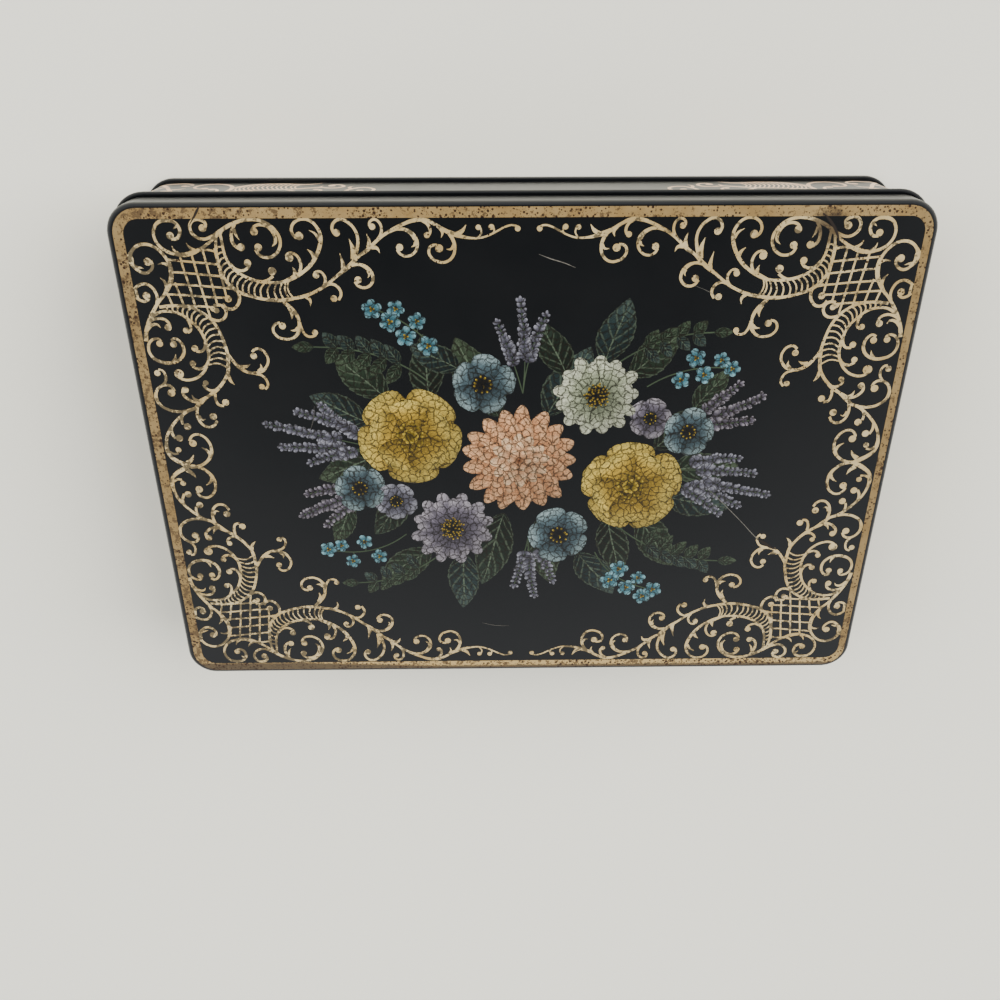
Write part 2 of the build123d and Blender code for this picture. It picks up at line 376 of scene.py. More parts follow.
    [(38.6, 52.4), (40.8, 53.2, 0.8), (42.0, 54.8, 0.8), (42.2, 56.5, 0.8), (41.2, 57.8, 0.8)],
    # two hooks under the lattice
    [(33.4, 24.8, 1.0), (36.4, 25.7, 1.1), (36.9, 28.0, 1.0), (36.0, 30.3, 0.95),
     (34.2, 31.5, 0.95), (32.4, 31.1, 0.95), (31.5, 29.8, 0.95)],
    [(28.6, 30.4, 1.0), (30.4, 30.2, 1.0), (31.9, 31.2, 1.0), (32.1, 33.0), (31.0, 34.6),
     (29.2, 35.1), (27.4, 34.6)],
    [(27.6, 30.6), (28.0, 31.6), (29.0, 32.0)],
]

knobs = [
    (18.9, 9.25, 1.15), (28.8, 7.1, 1.2), (44.5, 12.8, 1.2), (43.8, 8.2, 1.2), (39.4, 12.7, 1.2),
    (40.7, 17.4, 1.15), (47.8, 19.9, 1.3), (57.0, 9.5, 1.3), (53.4, 15.9, 1.25), (49.0, 36.9, 1.15),
    (58.9, 39.1, 1.0), (60.9, 21.2, 1.05), (65.7, 28.4, 1.1), (73.5, 22.7, 1.15), (68.1, 8.6, 1.15),
    (78.8, 6.9, 1.0), (86.6, 13.0, 1.15), (94.9, 9.4, 0.95), (98.4, 13.3, 1.25), (110.2, 7.2, 0.85),
    (114.1, 7.1, 0.9), (121.9, 7.6, 0.9), (10.9, 16.9, 1.25), (8.7, 27.2, 1.2), (13.6, 37.2, 1.15),
    (10.1, 42.4, 1.1), (14.4, 42.6, 1.15), (19.0, 38.2, 1.0), (20.8, 44.0, 1.1), (19.4, 49.0, 1.05),
    (14.5, 52.4, 1.6), (22.5, 55.5, 0.95), (27.9, 62.2, 1.2), (15.6, 57.8, 1.15),
    (23.2, 67.1, 1.25), (11.0, 58.8, 1.3), (7.7, 52.1, 1.05), (14.3, 70.6, 1.25),
    (11.0, 74.7, 1.25), (10.0, 78.9, 1.0), (15.1, 76.6, 1.3), (38.9, 46.6, 1.1), (40.2, 56.9, 1.0),
    (33.4, 28.3, 1.15), (29.3, 31.9, 0.95),
]

# The woven patch in the corner: bars as lines of points, all of one width
latticeBars = [
    [(17.1, 16.3), (21.0, 16.7), (25.0, 17.1), (29.0, 17.5), (32.0, 17.8)],
    [(17.6, 20.0), (21.5, 20.3), (25.5, 20.7), (29.3, 21.1), (32.6, 21.4)],
    [(16.3, 23.6), (20.5, 23.9), (25.0, 24.2), (29.4, 24.6), (34.0, 25.0)],
    [(14.6, 26.8), (19.4, 27.0), (24.2, 27.4), (28.6, 27.8), (33.0, 28.0)],
    [(12.0, 30.6), (16.0, 30.2), (20.4, 30.4), (25.0, 30.6), (29.0, 30.9)],
    [(14.9, 26.0), (15.6, 28.2), (16.2, 30.4)],
    [(18.0, 23.2), (18.7, 26.2), (19.3, 29.0), (19.8, 31.2)],
    [(20.8, 15.0), (21.2, 18.5), (21.8, 22.0), (22.4, 25.6), (22.8, 29.0), (23.2, 31.6)],
    [(24.3, 14.6), (24.9, 18.6), (25.4, 22.4), (25.9, 26.0), (26.5, 30.0), (27.2, 34.6)],
    [(27.8, 13.4), (28.3, 17.0), (28.8, 21.0), (29.3, 25.0), (29.9, 30.6)],
    [(24.4, 14.4), (27.2, 13.6), (29.6, 13.5), (31.6, 14.0)],
    [(31.4, 13.0), (31.7, 16.6), (32.1, 20.4), (32.6, 24.2), (33.0, 28.0)],
]

# Two ribbed bands: each has an inner and an outer line with ribs between them
ribbedBands = [
    {
        "inner": [(33.7, 8.6, 0.9), (33.9, 11.4, 0.85), (34.1, 14.2, 0.85), (34.9, 17.0, 0.85),
                  (36.4, 19.3, 0.85), (38.6, 21.0, 0.85), (41.2, 22.3, 0.95), (44.2, 23.1, 1.0),
                  (47.6, 23.4, 0.9), (50.6, 23.2, 0.9), (52.4, 22.6, 0.9)],
        "outer": [(32.4, 9.8, 0.8), (31.9, 12.6, 0.85), (31.9, 15.6, 0.85), (32.2, 18.8, 0.85),
                  (33.0, 21.8, 0.95), (34.6, 24.2, 1.1), (37.0, 26.2, 1.1), (40.2, 27.4, 1.0),
                  (44.0, 28.4, 0.95), (49.5, 28.9, 1.0), (53.4, 28.3, 1.1)],
        "ribs": 17,
        "innerSpan": (0.145, 1.0),
        "outerSpan": (0.12, 1.0),
        "lead": 0.08,  # how far a middle rib's outer end runs ahead
        "bow": -0.16,
    },
    {
        "inner": [(9.2, 33.8, 1.0), (12.0, 32.3, 0.9), (15.4, 32.2, 0.85), (18.4, 33.2, 0.85),
                  (20.8, 35.2, 0.85), (22.8, 37.4, 0.85), (24.1, 40.2, 0.9), (24.7, 43.4, 1.1),
                  (24.8, 46.6, 0.95), (23.8, 49.6, 0.9), (21.6, 52.6, 0.9), (18.4, 54.3, 0.9),
                  (15.6, 54.3, 0.9), (13.6, 53.0, 0.9)],
        "outer": [(12.0, 30.8, 0.9), (15.0, 30.5, 0.85), (18.4, 30.4, 0.85), (21.6, 31.0, 0.85),
                  (24.6, 32.4, 0.85), (27.2, 34.8, 0.95), (28.9, 37.6, 0.95), (29.9, 40.8, 0.95),
                  (30.6, 44.2, 1.0), (30.8, 47.2, 1.1), (30.4, 50.6, 0.9)],
        "ribs": 16,
        "innerSpan": (0.135, 0.69),
        "outerSpan": (0.085, 1.0),
        "lead": -0.04,
        "bow": 0.16,
    },
]


# A point at a share of the way along a smooth line through the points
def splinePoint(points, share):
    place = min(max(share, 0.0), 0.9999) * (len(points) - 1)
    first = int(place)
    t = place - first
    around = [points[min(max(first + i, 0), len(points) - 1)] for i in (-1, 0, 1, 2)]
    return tuple(
        0.5 * (2 * b + (c - a) * t + (2 * a - 5 * b + 4 * c - d) * t * t
               + (3 * b - a - 3 * c + d) * t**3)
        for a, b, c, d in zip(*around)
    )


# Short bowed lines from the band's inner line to its outer line
def bandRibs(strip):
    lines = []
    for index in range(strip["ribs"]):
        share = index / (strip["ribs"] - 1)
        inner, outer = [a + (b - a) * share for a, b in (strip["innerSpan"], strip["outerSpan"])]
        start = splinePoint(strip["inner"], inner)
        end = splinePoint(strip["outer"], outer + strip["lead"] * math.sin(math.pi * share))
        across = (end[1] - start[1], start[0] - end[0])
        bowed = [(start[i] + end[i]) / 2 + across[i] * strip["bow"] for i in (0, 1)]
        lines.append([(start[0], start[1], 0.5), (bowed[0], bowed[1], 0.5), (end[0], end[1], 0.6)])
    return lines


# Lay each line as a curve with a round bevel, then make it one mesh
def drawLines(name, lines, resolution=5, weight=1.0):
    data = bpy.data.curves.new(name, "CURVE")
    data.dimensions = "3D"
    data.resolution_u = resolution
    data.bevel_depth = millimetre / 2
    data.bevel_resolution = 0
    data.use_fill_caps = True
    for index, points in enumerate(lines):
        film = scroll["lift"] + scroll["step"] * (index % scroll["levels"])
        height = film * millimetre / scroll["flatten"]
        spline = data.splines.new("BEZIER")
        spline.bezier_points.add(len(points) - 1)
        for knot, (u, v, width) in zip(spline.bezier_points, points):
            knot.co = (u * millimetre, -v * millimetre, height)
            knot.radius = width * scroll["lineScale"] * weight
            knot.handle_left_type = "AUTO"
            knot.handle_right_type = "AUTO"
    item = bpy.data.objects.new(name, data)
    bpy.context.collection.objects.link(item)
    makeActive(item)
    bpy.ops.object.convert(target="MESH")
    return bpy.context.active_object


def applyPlace(item):
    makeActive(item)
    bpy.ops.object.transform_apply(location=True, rotation=True, scale=True)


marks = {
    "wobbleScale": 480.0,  # how finely the crackle's lines waver
    "wobble": 0.0026,
    "crowdScale": 130.0,  # patches where spots crowd together
    "crowdSpan": 0.3,
    "spotEdge": 0.05,
    "dotCell": 0.47,  # the smaller dots, as shares of the spots
    "dotSize": 0.45,
}


# Fine dark network of an old print: 1 on the lines, 0 between them
def crackleMask(tree, place, cellMm, lineMm):
    wobble = addNoise(tree, place, marks["wobbleScale"], 3.0, 0.6, "Color")
    push = addNode(tree, "ShaderNodeVectorMath", {"operation": "MULTIPLY_ADD"},
                   {1: (marks["wobble"], marks["wobble"], 0.0)}, {0: wobble, 2: place})
    cells = addNode(tree, "ShaderNodeTexVoronoi",
                    {"feature": "DISTANCE_TO_EDGE", "voronoi_dimensions": "2D"},
                    {"Scale": 1000.0 / cellMm}, {"Vector": push.outputs[0]})
    return addRange(tree, cells.outputs["Distance"], (0.0, lineMm / cellMm), (1.0, 0.0), True)


# Scattered round-ish spots, more in some places than in others
def spotMask(tree, place, cellMm, sizeLow, sizeHigh, cover, flat=False):
    cells = addNode(tree, "ShaderNodeTexVoronoi",
                    {"feature": "F1", "voronoi_dimensions": "2D" if flat else "3D"},
                    {"Scale": 1000.0 / cellMm, "Randomness": 1.0}, {"Vector": place})
    crowd = addNoise(tree, place, marks["crowdScale"], 3.0, 0.65)
    reach = addRange(tree, crowd, (cover, cover + marks["crowdSpan"]),
                     (sizeLow / cellMm, sizeHigh / cellMm))
    gap = addMath(tree, "SUBTRACT", reach, cells.outputs["Distance"])
    return addRange(tree, gap, (0.0, marks["spotEdge"]), (0.0, 1.0), True)


lacquer = {
    "black": "070a0d",
    "dust": "0e0f11",
    "rust": "4b3020",
    "rustSpots": (6.0, -0.8, 0.45, 0.6),  # mm between spots, least and most radius, cover
    "hazeScale": 38.0,
    "rubScale": 26.0,
    "roughness": 0.34,
    "gloss": (-0.02, 0.06),  # how far the roughness strays, down and up
    "peelScale": 260.0,
    "peelDepth": 0.0002,
    "ior": 1.5,
    "coat": 0.28,
    "coatRoughness": 0.22,
}


# Black stoving lacquer on tinplate: deep and softly glossy, with handling marks and rust pinpricks
def makeLacquer():
    material, tree, shader = newMaterial("blackStovingLacquer")
    place = ownPlace(tree)
    haze = addNoise(tree, place, lacquer["hazeScale"], 5.0, 0.62)
    film = mixColour(tree, haze, lacquer["black"], lacquer["dust"])
    spots = spotMask(tree, place, *lacquer["rustSpots"])
    tree.links.new(mixColour(tree, spots, film, lacquer["rust"]), shader.inputs["Base Color"])
    rubs = addNoise(tree, place, lacquer["rubScale"], 7.0, 0.7)
    span = [lacquer["roughness"] + stray for stray in lacquer["gloss"]]
    tree.links.new(addRange(tree, rubs, (0.3, 0.75), span), shader.inputs["Roughness"])
    orangePeel = addNoise(tree, place, lacquer["peelScale"], 1.0)
    bump = addNode(tree, "ShaderNodeBump", None,
                   {"Strength": 0.05, "Distance": lacquer["peelDepth"]}, {"Height": orangePeel})
    tree.links.new(bump.outputs["Normal"], shader.inputs["Normal"])
    shader.inputs["IOR"].default_value = lacquer["ior"]
    shader.inputs["Coat Weight"].default_value = lacquer["coat"]
    shader.inputs["Coat Roughness"].default_value = lacquer["coatRoughness"]
    return material


insideFinish = {
    "gold": "cab68c",
    "pale": "dccca6",
    "rust": "5a3a1e",
    "rustSpots": (7.0, -0.8, 0.5, 0.52),
    "grain": (1.0, 40.0, 40.0),  # the rolled grain runs along X
    "grainScale": 60.0,
    "roughness": 0.3,
    "gloss": (-0.06, 0.1),
    "metal": 0.9,
}


# Clear gold-brown lacquer over bright tinplate, as inside a food tin, with a faint rolled grain
def makeGoldLacquer():
    material, tree, shader = newMaterial("goldLacqueredTinplate")
    place = ownPlace(tree)
    grain = addNode(tree, "ShaderNodeMapping", None, {"Scale": insideFinish["grain"]},
                    {"Vector": place})
    roll = addNoise(tree, grain.outputs[0], insideFinish["grainScale"], 4.0)
    tone = mixColour(tree, roll, insideFinish["gold"], insideFinish["pale"])
    spots = spotMask(tree, place, *insideFinish["rustSpots"])
    tree.links.new(mixColour(tree, spots, tone, insideFinish["rust"]), shader.inputs["Base Color"])
    span = [insideFinish["roughness"] + stray for stray in insideFinish["gloss"]]
    tree.links.new(addRange(tree, roll, (0.3, 0.7), span), shader.inputs["Roughness"])
    shader.inputs["Metallic"].default_value = insideFinish["metal"]
    return material


printGold = {
    "rust": "38261a",
    "roughness": 0.42,
    "metal": 0.2,
    "paintedSheen": "c9ac74",  # painted sheen: the lighter gold the band shows towards its front edge
    # painted shade: the darker brown of the band's two short ends
    "paintedEndShade": "57482f",
    "edgeBrown": "4e4335",
    "dentBrown": "3f3328",
    "dentPlace": (0.0905, 0.0785, 0.042),  # the knocked spot near the back right corner
    "dentRagged": 0.012,
    # wear, a darker front edge, painted shade at the ends and painted sheen at the front, each by
    # place: the span of metres on the lid, and what it grows from and to
    "leftRub": ((-0.03, -0.11), (0.0, 0.05)),
    "frontRub": ((-0.04, -0.085), (0.0, 0.04)),
    "leftReach": ((-0.03, -0.085), (0.0, 0.0018)),  # how much wider the brown edge is there
    "raggedReach": ((0.3, 0.7), (-0.0012, 0.0012)),
    "brownEdge": ((-0.0833, -0.0837), (0.0, 0.92)),
    # painted shade: the span over which the band's two ends darken
    "paintedEndShadeSpan": ((0.1165, 0.1185), (0.0, 0.22)),
    # painted sheen: the span over which the band grows lighter towards its front edge
    "paintedSheenSpan": ((-0.076, -0.0812), (0.0, 0.85)),
}

# One entry for each bronze ink: its colours, its spots in mm, how much of it is rubbed, and whether
# it takes the band's painted sheen, painted shade at the ends and darker front edge
inks = {
    "bandBronzeInk": {
        "light": "a88f62", "deep": "93794d", "rubbed": "5c4a34",
        "spotCell": 1.7, "spotSize": 0.56, "cover": 0.36,
        "rubCover": 0.56, "rubScale": 560.0, "flat": True, "sheenShadeAndEdge": True,
    },
    "scrollBronzeInk": {
        "light": "d8c495", "deep": "b79d69", "rubbed": "574e3c",
        "spotCell": 2.0, "spotSize": 0.42, "cover": 0.42,
        "rubCover": 0.545, "rubScale": 420.0, "flat": True, "sheenShadeAndEdge": False,
    },
    "wallBronzeInk": {
        "light": "e9cdb0", "deep": "cfab8a", "rubbed": "857361",
        "spotCell": 3.2, "spotSize": 0.6, "cover": 0.5,
        "rubCover": 0.62, "rubScale": 330.0, "flat": False, "sheenShadeAndEdge": False,
    },
}


# The rusted knock: a patch a few millimetres wide with a ragged edge
def dentMask(tree, place):
    away = addNode(tree, "ShaderNodeVectorMath", {"operation": "DISTANCE"},
                   {1: printGold["dentPlace"]}, {0: place}).outputs["Value"]
    ragged = addNoise(tree, place, 420.0, 5.0, 0.7)
    spread = addMath(tree, "MULTIPLY_ADD", ragged, printGold["dentRagged"], away)
    return addRange(tree, spread, (0.0085, 0.0135), (0.85, 0.0), True)


# Handling wear by place: how much more rubbed the left end and the front edge are
def sideWear(tree, x, y):
    left = addRange(tree, x, *printGold["leftRub"])
    front = addRange(tree, y, *printGold["frontRub"])
    return addMath(tree, "ADD", left, front)


# Where the band is darker brown: along its front edge, and further in towards the left corner
def frontEdgeDarkening(tree, x, y, ragged):
    left = addRange(tree, x, *printGold["leftReach"])
    nearer = addMath(tree, "SUBTRACT", y, left)
    rough = addRange(tree, ragged, *printGold["raggedReach"])
    return addRange(tree, addMath(tree, "ADD", nearer, rough), *printGold["brownEdge"])


# Bronze printing ink on lacquer: a satin tan-gold film, rubbed grey and pricked with rust; on the
# band also a painted sheen towards the front and painted shade at its ends
def makePrintGold(name):
    ink = inks[name]
    material, tree, shader = newMaterial(name)
    place = ownPlace(tree)
    x, y = splitPlace(tree, place)[:2]
    sharper = addRange(tree, addNoise(tree, place, 110.0, 6.0, 0.65), (0.36, 0.64), (0.0, 1.0))
    colour = mixColour(tree, sharper, ink["deep"], ink["light"])
    if ink["sheenShadeAndEdge"]:
        # painted sheen: the band mixed towards a lighter gold near its front edge
        paintedSheen = addRange(tree, y, *printGold["paintedSheenSpan"])
        colour = mixColour(tree, paintedSheen, colour, printGold["paintedSheen"])
    rub = addNoise(tree, place, ink["rubScale"], 6.0, 0.7)
    more = addMath(tree, "ADD", rub, sideWear(tree, x, y))
    rubMask = addRange(tree, more, (ink["rubCover"], ink["rubCover"] + 0.04), (0.0, 0.9), True)
    colour = mixColour(tree, rubMask, colour, ink["rubbed"])
    if ink["sheenShadeAndEdge"]:
        # painted shade: the band darker brown at its two short ends
        ends = addRange(tree, addMath(tree, "ABSOLUTE", x), *printGold["paintedEndShadeSpan"])
        colour = mixColour(tree, ends, colour, printGold["paintedEndShade"])
        colour = mixColour(tree, frontEdgeDarkening(tree, x, y, rub), colour, printGold["edgeBrown"])
    cell, size, cover = ink["spotCell"], ink["spotSize"], ink["cover"]
    spots = spotMask(tree, place, cell, 0.05, size, cover, ink["flat"])
    dots = spotMask(tree, place, cell * marks["dotCell"], -0.1, size * marks["dotSize"],
                    cover + 0.02, ink["flat"])
    for mask, tone in ((spots, "rust"), (dots, "rust"), (dentMask(tree, place), "dentBrown")):
        colour = mixColour(tree, mask, colour, printGold[tone])
    tree.links.new(colour, shader.inputs["Base Color"])
    shader.inputs["Metallic"].default_value = printGold["metal"]
    shader.inputs["Roughness"].default_value = printGold["roughness"]
    return material


blackLacquer = makeLacquer()
goldLacquer = makeGoldLacquer()
bandGold, scrollGold, wallGold = [makePrintGold(name) for name in inks]
print("finishes ready")


# How far a place is outside a rectangle with rounded corners, in millimetres
def outOfWall(place, halfX, halfY, corner):
    overX = abs(place.x) / millimetre - (halfX - corner)
    overY = abs(place.y) / millimetre - (halfY - corner)
    return math.hypot(max(overX, 0), max(overY, 0)) + min(max(overX, overY), 0) - corner


tin = {
    "middle": 20.0,  # mm, the height that faces look away from or towards
    "lidCorner": 9.5,
    "outsideBy": 0.02,  # mm, past the skirt's face a face of the lid is outside
    "underside": 2.7,  # mm, below this the bottom panel's faces are the underside
    "levelNormal": 0.5,
}


# Lacquer outside, gold lacquer inside: a face's side of the sheet settles which it gets
def dressTin():
    middle = Vector((0, 0, tin["middle"] * millimetre))
    for name in ("lid", "body_wall", "bottom_panel"):
        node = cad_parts[name]
        dress(node, blackLacquer, goldLacquer)
        for face in node.data.polygons:
            place = face.center
            outside = (place - middle).dot(face.normal) > 0
            if name == "lid":
                away = outOfWall(place, skirtHalfX, skirtHalfY, tin["lidCorner"])
                outside = outside or away > tin["outsideBy"]
            elif name == "bottom_panel":
                under = place.z < tin["underside"] * millimetre
                outside = face.normal.z < tin["levelNormal"] or under
            face.material_index = 0 if outside else 1


dressTin()
print("tin dressed")

band = {
    "inset": 1.5,  # from the skirt's face to the band's outer edge
    "width": 3.1,
    "corner": 8.0,
    "cornerSteps": 14,
    "film": 0.03,
    "sunk": 0.4,  # share of the film that reaches into the sheet
    "leftShift": 0.6,  # the print sits a little to the right
    "rightTrim": (0.4, -0.3),  # and is a little narrower there: inner and outer edge
}


def finishPiece(item, name, material, body):
    item.name = name
    dress(item, material)
    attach(item, body)


# The plain gold band round the lid's face: a plane, rounded, inset and hollowed by hand
def makeBand():
    deselectAll()
    bpy.ops.mesh.primitive_plane_add(size=1, location=(0, 0, 0))
    item = bpy.context.active_object
    sides = [(half - band["inset"]) * 2 * millimetre for half in (skirtHalfX, skirtHalfY)]
    item.scale = (*sides, 1)
    applyPlace(item)
    rise = band["film"] * (1 + band["sunk"]) * millimetre
    bpy.ops.object.mode_set(mode="EDIT")
    bpy.ops.mesh.select_all(action="SELECT")
    bpy.ops.mesh.bevel(affect="VERTICES", offset=band["corner"] * millimetre,
                       segments=band["cornerSteps"], profile=0.5)
    bpy.ops.mesh.inset(thickness=band["width"] * millimetre)
    bpy.ops.mesh.delete(type="FACE")
    bpy.ops.mesh.select_all(action="SELECT")
    bpy.ops.mesh.extrude_region_move(TRANSFORM_OT_translate={"value": (0, 0, rise)})
    bpy.ops.mesh.select_all(action="SELECT")
    bpy.ops.mesh.normals_make_consistent(inside=False)
    bpy.ops.object.mode_set(mode="OBJECT")
    item.location = (0, 0, (lidTop - band["film"] * band["sunk"]) * millimetre)
    applyPlace(item)
    middle = -band["inset"] - band["width"] / 2
    for vertex in item.data.vertices:
        inner = outOfWall(vertex.co, skirtHalfX, skirtHalfY, band["corner"]) < middle
        trim = band["leftShift"] if vertex.co.x < 0 else band["rightTrim"][0 if inner else 1]
        vertex.co.x += trim * millimetre
    finishPiece(item, "goldBand", bandGold, "lid")


makeBand()
print("gold band laid")


# Copies of the round end, left selected so that they join the line work
def placeKnobs(knob, places):
    level = scroll["lift"] + scroll["step"] * scroll["knobLevel"]
    for x, y, radius in places:
        ball = knob.copy()
        ball.data = knob.data.copy()
        bpy.context.collection.objects.link(ball)
        ball.location = (x * millimetre, y * millimetre, level * millimetre / scroll["flatten"])
        ball.scale = (radius, radius, radius)
        ball.select_set(True)


# One quarter of the lid's scrollwork, laid from its own corner
def makeQuarter(corner, signX, signY):
    shiftX, stretchX, shiftY, stretchY = scroll[corner]

    def place(u, v):
        return (signX * (skirtHalfX - u * (1 + stretchX) - shiftX),
                signY * (skirtHalfY - v * (1 + stretchY) - shiftY))

    def lay(line, plain):
        placed = []
        for u, v, *width in line:
            x, y = place(u, v)
            placed.append((x, -y, width[0] if width else plain))
        return placed

    lines = [lay(line, scroll["usualWidth"]) for line in quarterLines]
    lines += [lay(bar, scroll["latticeWidth"]) for bar in latticeBars]
    for strip in ribbedBands:
        lines += [lay(line, None) for line in [strip["inner"], strip["outer"]] + bandRibs(strip)]
    item = drawLines("scrolls" + corner, lines)
    deselectAll()
    size = scroll["knobScale"]
    placeKnobs(knobPattern, [(*place(u, v), radius * size) for u, v, radius in knobs])
    pressFlat(item, lidTop)
    bpy.ops.object.shade_flat()
    finishPiece(item, "scrolls" + corner, scrollGold, "lid")


# Join the selected ends to the lines, press them flat and set them at a height
def pressFlat(item, height):
    item.select_set(True)
    bpy.context.view_layer.objects.active = item
    bpy.ops.object.join()
    item.scale = (1, 1, scroll["flatten"])
    item.location = (0, 0, height * millimetre)
    applyPlace(item)


# A small ball, the pattern for every round end of the scrolls
def makeKnob():
    deselectAll()
    bpy.ops.mesh.primitive_uv_sphere_add(segments=scroll["knobSegments"],
                                         ring_count=scroll["knobRings"], radius=millimetre)
    return bpy.context.active_object


knobPattern = makeKnob()
for cornerName, signs in corners.items():
    makeQuarter(cornerName, *signs)
print("lid scrolls laid")

# Scrolls on the body's walls, as distance from the wall's end and height, with width
wallScroll = {
    "stretch": 0.945,  # along the wall, from the middle of the body's corner
    "bodyCorner": 8.85,
    "inset": 0.65,  # from the skirt's face to the wall's: the sheet and its clearance
    "weight": 1.15,  # these lines are bolder than the lid's
}

wallLines = [
    # the stem that rises from the corner's foot and winds into the big loop
    [(0.0, 3.6, 1.1), (4.0, 6.2, 1.3), (7.8, 10.8, 1.2), (10.4, 16.4, 1.1), (13.6, 21.6, 1.2),
     (18.6, 25.2, 1.3), (24.4, 25.4, 1.2), (28.8, 22.2, 1.2), (30.6, 17.2, 1.3), (30.4, 12.0, 1.2),
     (28.2, 7.8, 1.1), (24.2, 5.8, 1.0), (20.2, 6.8, 1.0), (17.8, 10.0, 1.0), (18.4, 13.6, 0.9),
     (20.8, 15.0, 0.9)],
    [(20.4, 24.8, 1.2), (22.8, 22.6, 1.0), (25.8, 20.6, 1.0), (26.8, 17.4, 0.9), (25.2, 14.8, 0.9)],
    [(24.2, 25.4, 1.2), (22.4, 27.4, 0.8), (19.4, 28.4, 0.15)],
    [(10.4, 16.4, 1.2), (13.2, 15.6, 0.8), (15.2, 13.2, 0.15)],
    # loops about the corner, which meet those of the next wall
    [(5.2, 7.6, 1.1), (9.2, 5.4, 1.0), (13.2, 5.0, 1.0), (15.6, 7.2, 0.9), (14.6, 9.8, 0.9)],
    [(8.2, 11.4, 1.1), (5.4, 14.6, 1.0), (4.8, 19.2, 1.0), (7.0, 23.0, 1.0), (10.6, 23.8, 0.9),
     (12.4, 21.4, 0.9)],
    [(0.0, 11.6, 1.0), (2.8, 13.2, 1.0), (4.9, 17.0, 1.0)],
    [(6.0, 21.8, 1.0), (4.6, 24.6, 0.9), (2.0, 26.6, 0.9)],
    [(11.6, 18.8, 1.1), (9.4, 18.2, 0.8), (7.6, 19.4, 0.15)],
    [(9.4, 24.0, 1.0), (10.8, 26.6, 0.9), (13.4, 28.4, 0.8)],
    # over the ribs
    [(29.6, 20.4, 1.2), (32.0, 24.4, 1.1), (36.0, 27.2, 1.0), (40.4, 27.6, 1.0), (42.6, 25.2, 0.9),
     (41.0, 22.8, 0.9)],
    [(36.6, 18.0, 1.2), (40.2, 20.0, 1.0), (44.6, 21.6, 1.0), (48.6, 24.2, 1.0), (48.8, 27.2, 0.9)],
    [(44.4, 21.6, 1.2), (47.2, 21.2, 0.8), (49.4, 19.2, 0.15)],
    # the vine beyond the ribs
    [(52.6, 7.2, 1.3), (56.4, 6.6, 1.1), (59.8, 4.6, 0.15)],
    [(53.0, 15.2, 1.2), (56.8, 13.6, 1.2), (60.4, 12.6, 1.1), (64.0, 13.8, 1.1), (67.2, 12.6, 1.1),
     (67.6, 9.2, 1.0), (65.0, 7.4, 0.9), (62.8, 8.8, 0.9)],
    [(59.8, 12.6, 1.2), (60.8, 9.4, 0.15)],
    [(49.6, 16.4, 1.1), (53.4, 19.8, 1.2), (57.6, 23.0, 1.2), (62.2, 24.8, 1.1), (66.6, 23.6, 1.1),
     (69.4, 19.6, 1.1), (71.4, 15.4, 1.1), (74.8, 13.0, 1.1), (78.0, 14.6, 1.0), (78.8, 18.2, 1.0),
     (76.4, 20.6, 0.9), (74.0, 19.4, 0.9)],
    [(55.0, 21.2, 1.1), (58.6, 20.2, 1.0), (61.4, 18.2, 0.9), (60.4, 16.2, 0.9)],
    [(57.2, 22.8, 1.3), (57.6, 26.0, 0.9), (59.8, 28.4, 0.15)],
    [(62.0, 24.8, 1.1), (65.6, 27.2, 1.0), (70.2, 27.4, 1.0), (74.2, 25.4, 1.0), (78.4, 24.8, 1.0),
     (81.4, 27.2, 0.9)],
    [(71.2, 15.6, 1.3), (70.2, 12.6, 0.9), (71.4, 9.8, 0.15)],
    [(74.0, 25.4, 1.2), (76.4, 27.6, 0.8), (79.4, 28.6, 0.15)],
]
wallKnobs = [
    (21.6, 14.0, 1.3), (24.4, 15.6, 1.2), (13.6, 9.4, 1.2), (11.4, 21.0, 1.2), (2.4, 26.0, 1.1),
    (13.2, 27.8, 1.0), (40.2, 23.4, 1.15), (48.0, 27.2, 1.0), (63.8, 9.6, 1.25), (74.4, 18.6, 1.2),
    (59.6, 16.4, 1.1), (80.8, 26.8, 1.05),
]
wallBand = {
    "inner": [(30.2, 19.4, 1.1), (34.2, 18.4, 1.0), (39.0, 17.4, 1.0), (44.0, 16.6, 1.0),
              (48.8, 16.0, 1.1), (53.2, 15.2, 1.2)],
    "outer": [(30.8, 14.0, 1.1), (33.6, 9.6, 1.0), (37.6, 6.8, 1.0), (42.8, 5.8, 1.1),
              (48.0, 5.9, 1.1), (53.0, 7.2, 1.3)],
    "ribs": 14,
    "innerSpan": (0.16, 0.97),
    "outerSpan": (0.2, 0.97),
    "lead": 0.0,
    "bow": 0.14,
}


# Bend the flat drawing round one corner of the body: plus x runs along the long wall, minus x
# along the short one
def wrapCorner(item, signX, signY):
    corner = wallScroll["bodyCorner"]
    halfX, halfY = skirtHalfX - wallScroll["inset"], skirtHalfY - wallScroll["inset"]
    halfArc = corner * math.pi / 4
    for vertex in item.data.vertices:
        run = abs(vertex.co.x) / millimetre
        out = vertex.co.z / millimetre
        longWall = vertex.co.x >= 0
        if run < halfArc:
            turn = (halfArc - run) / corner
            near, far = (corner + out) * math.sin(turn), (corner + out) * math.cos(turn)
            along = halfX - corner + (near if longWall else far)
            across = halfY - corner + (far if longWall else near)
        elif longWall:
            along, across = halfX - corner - (run - halfArc), halfY + out
        else:
            along, across = halfX + out, halfY - corner - (run - halfArc)
        vertex.co = (signX * along * millimetre, signY * across * millimetre, vertex.co.y)


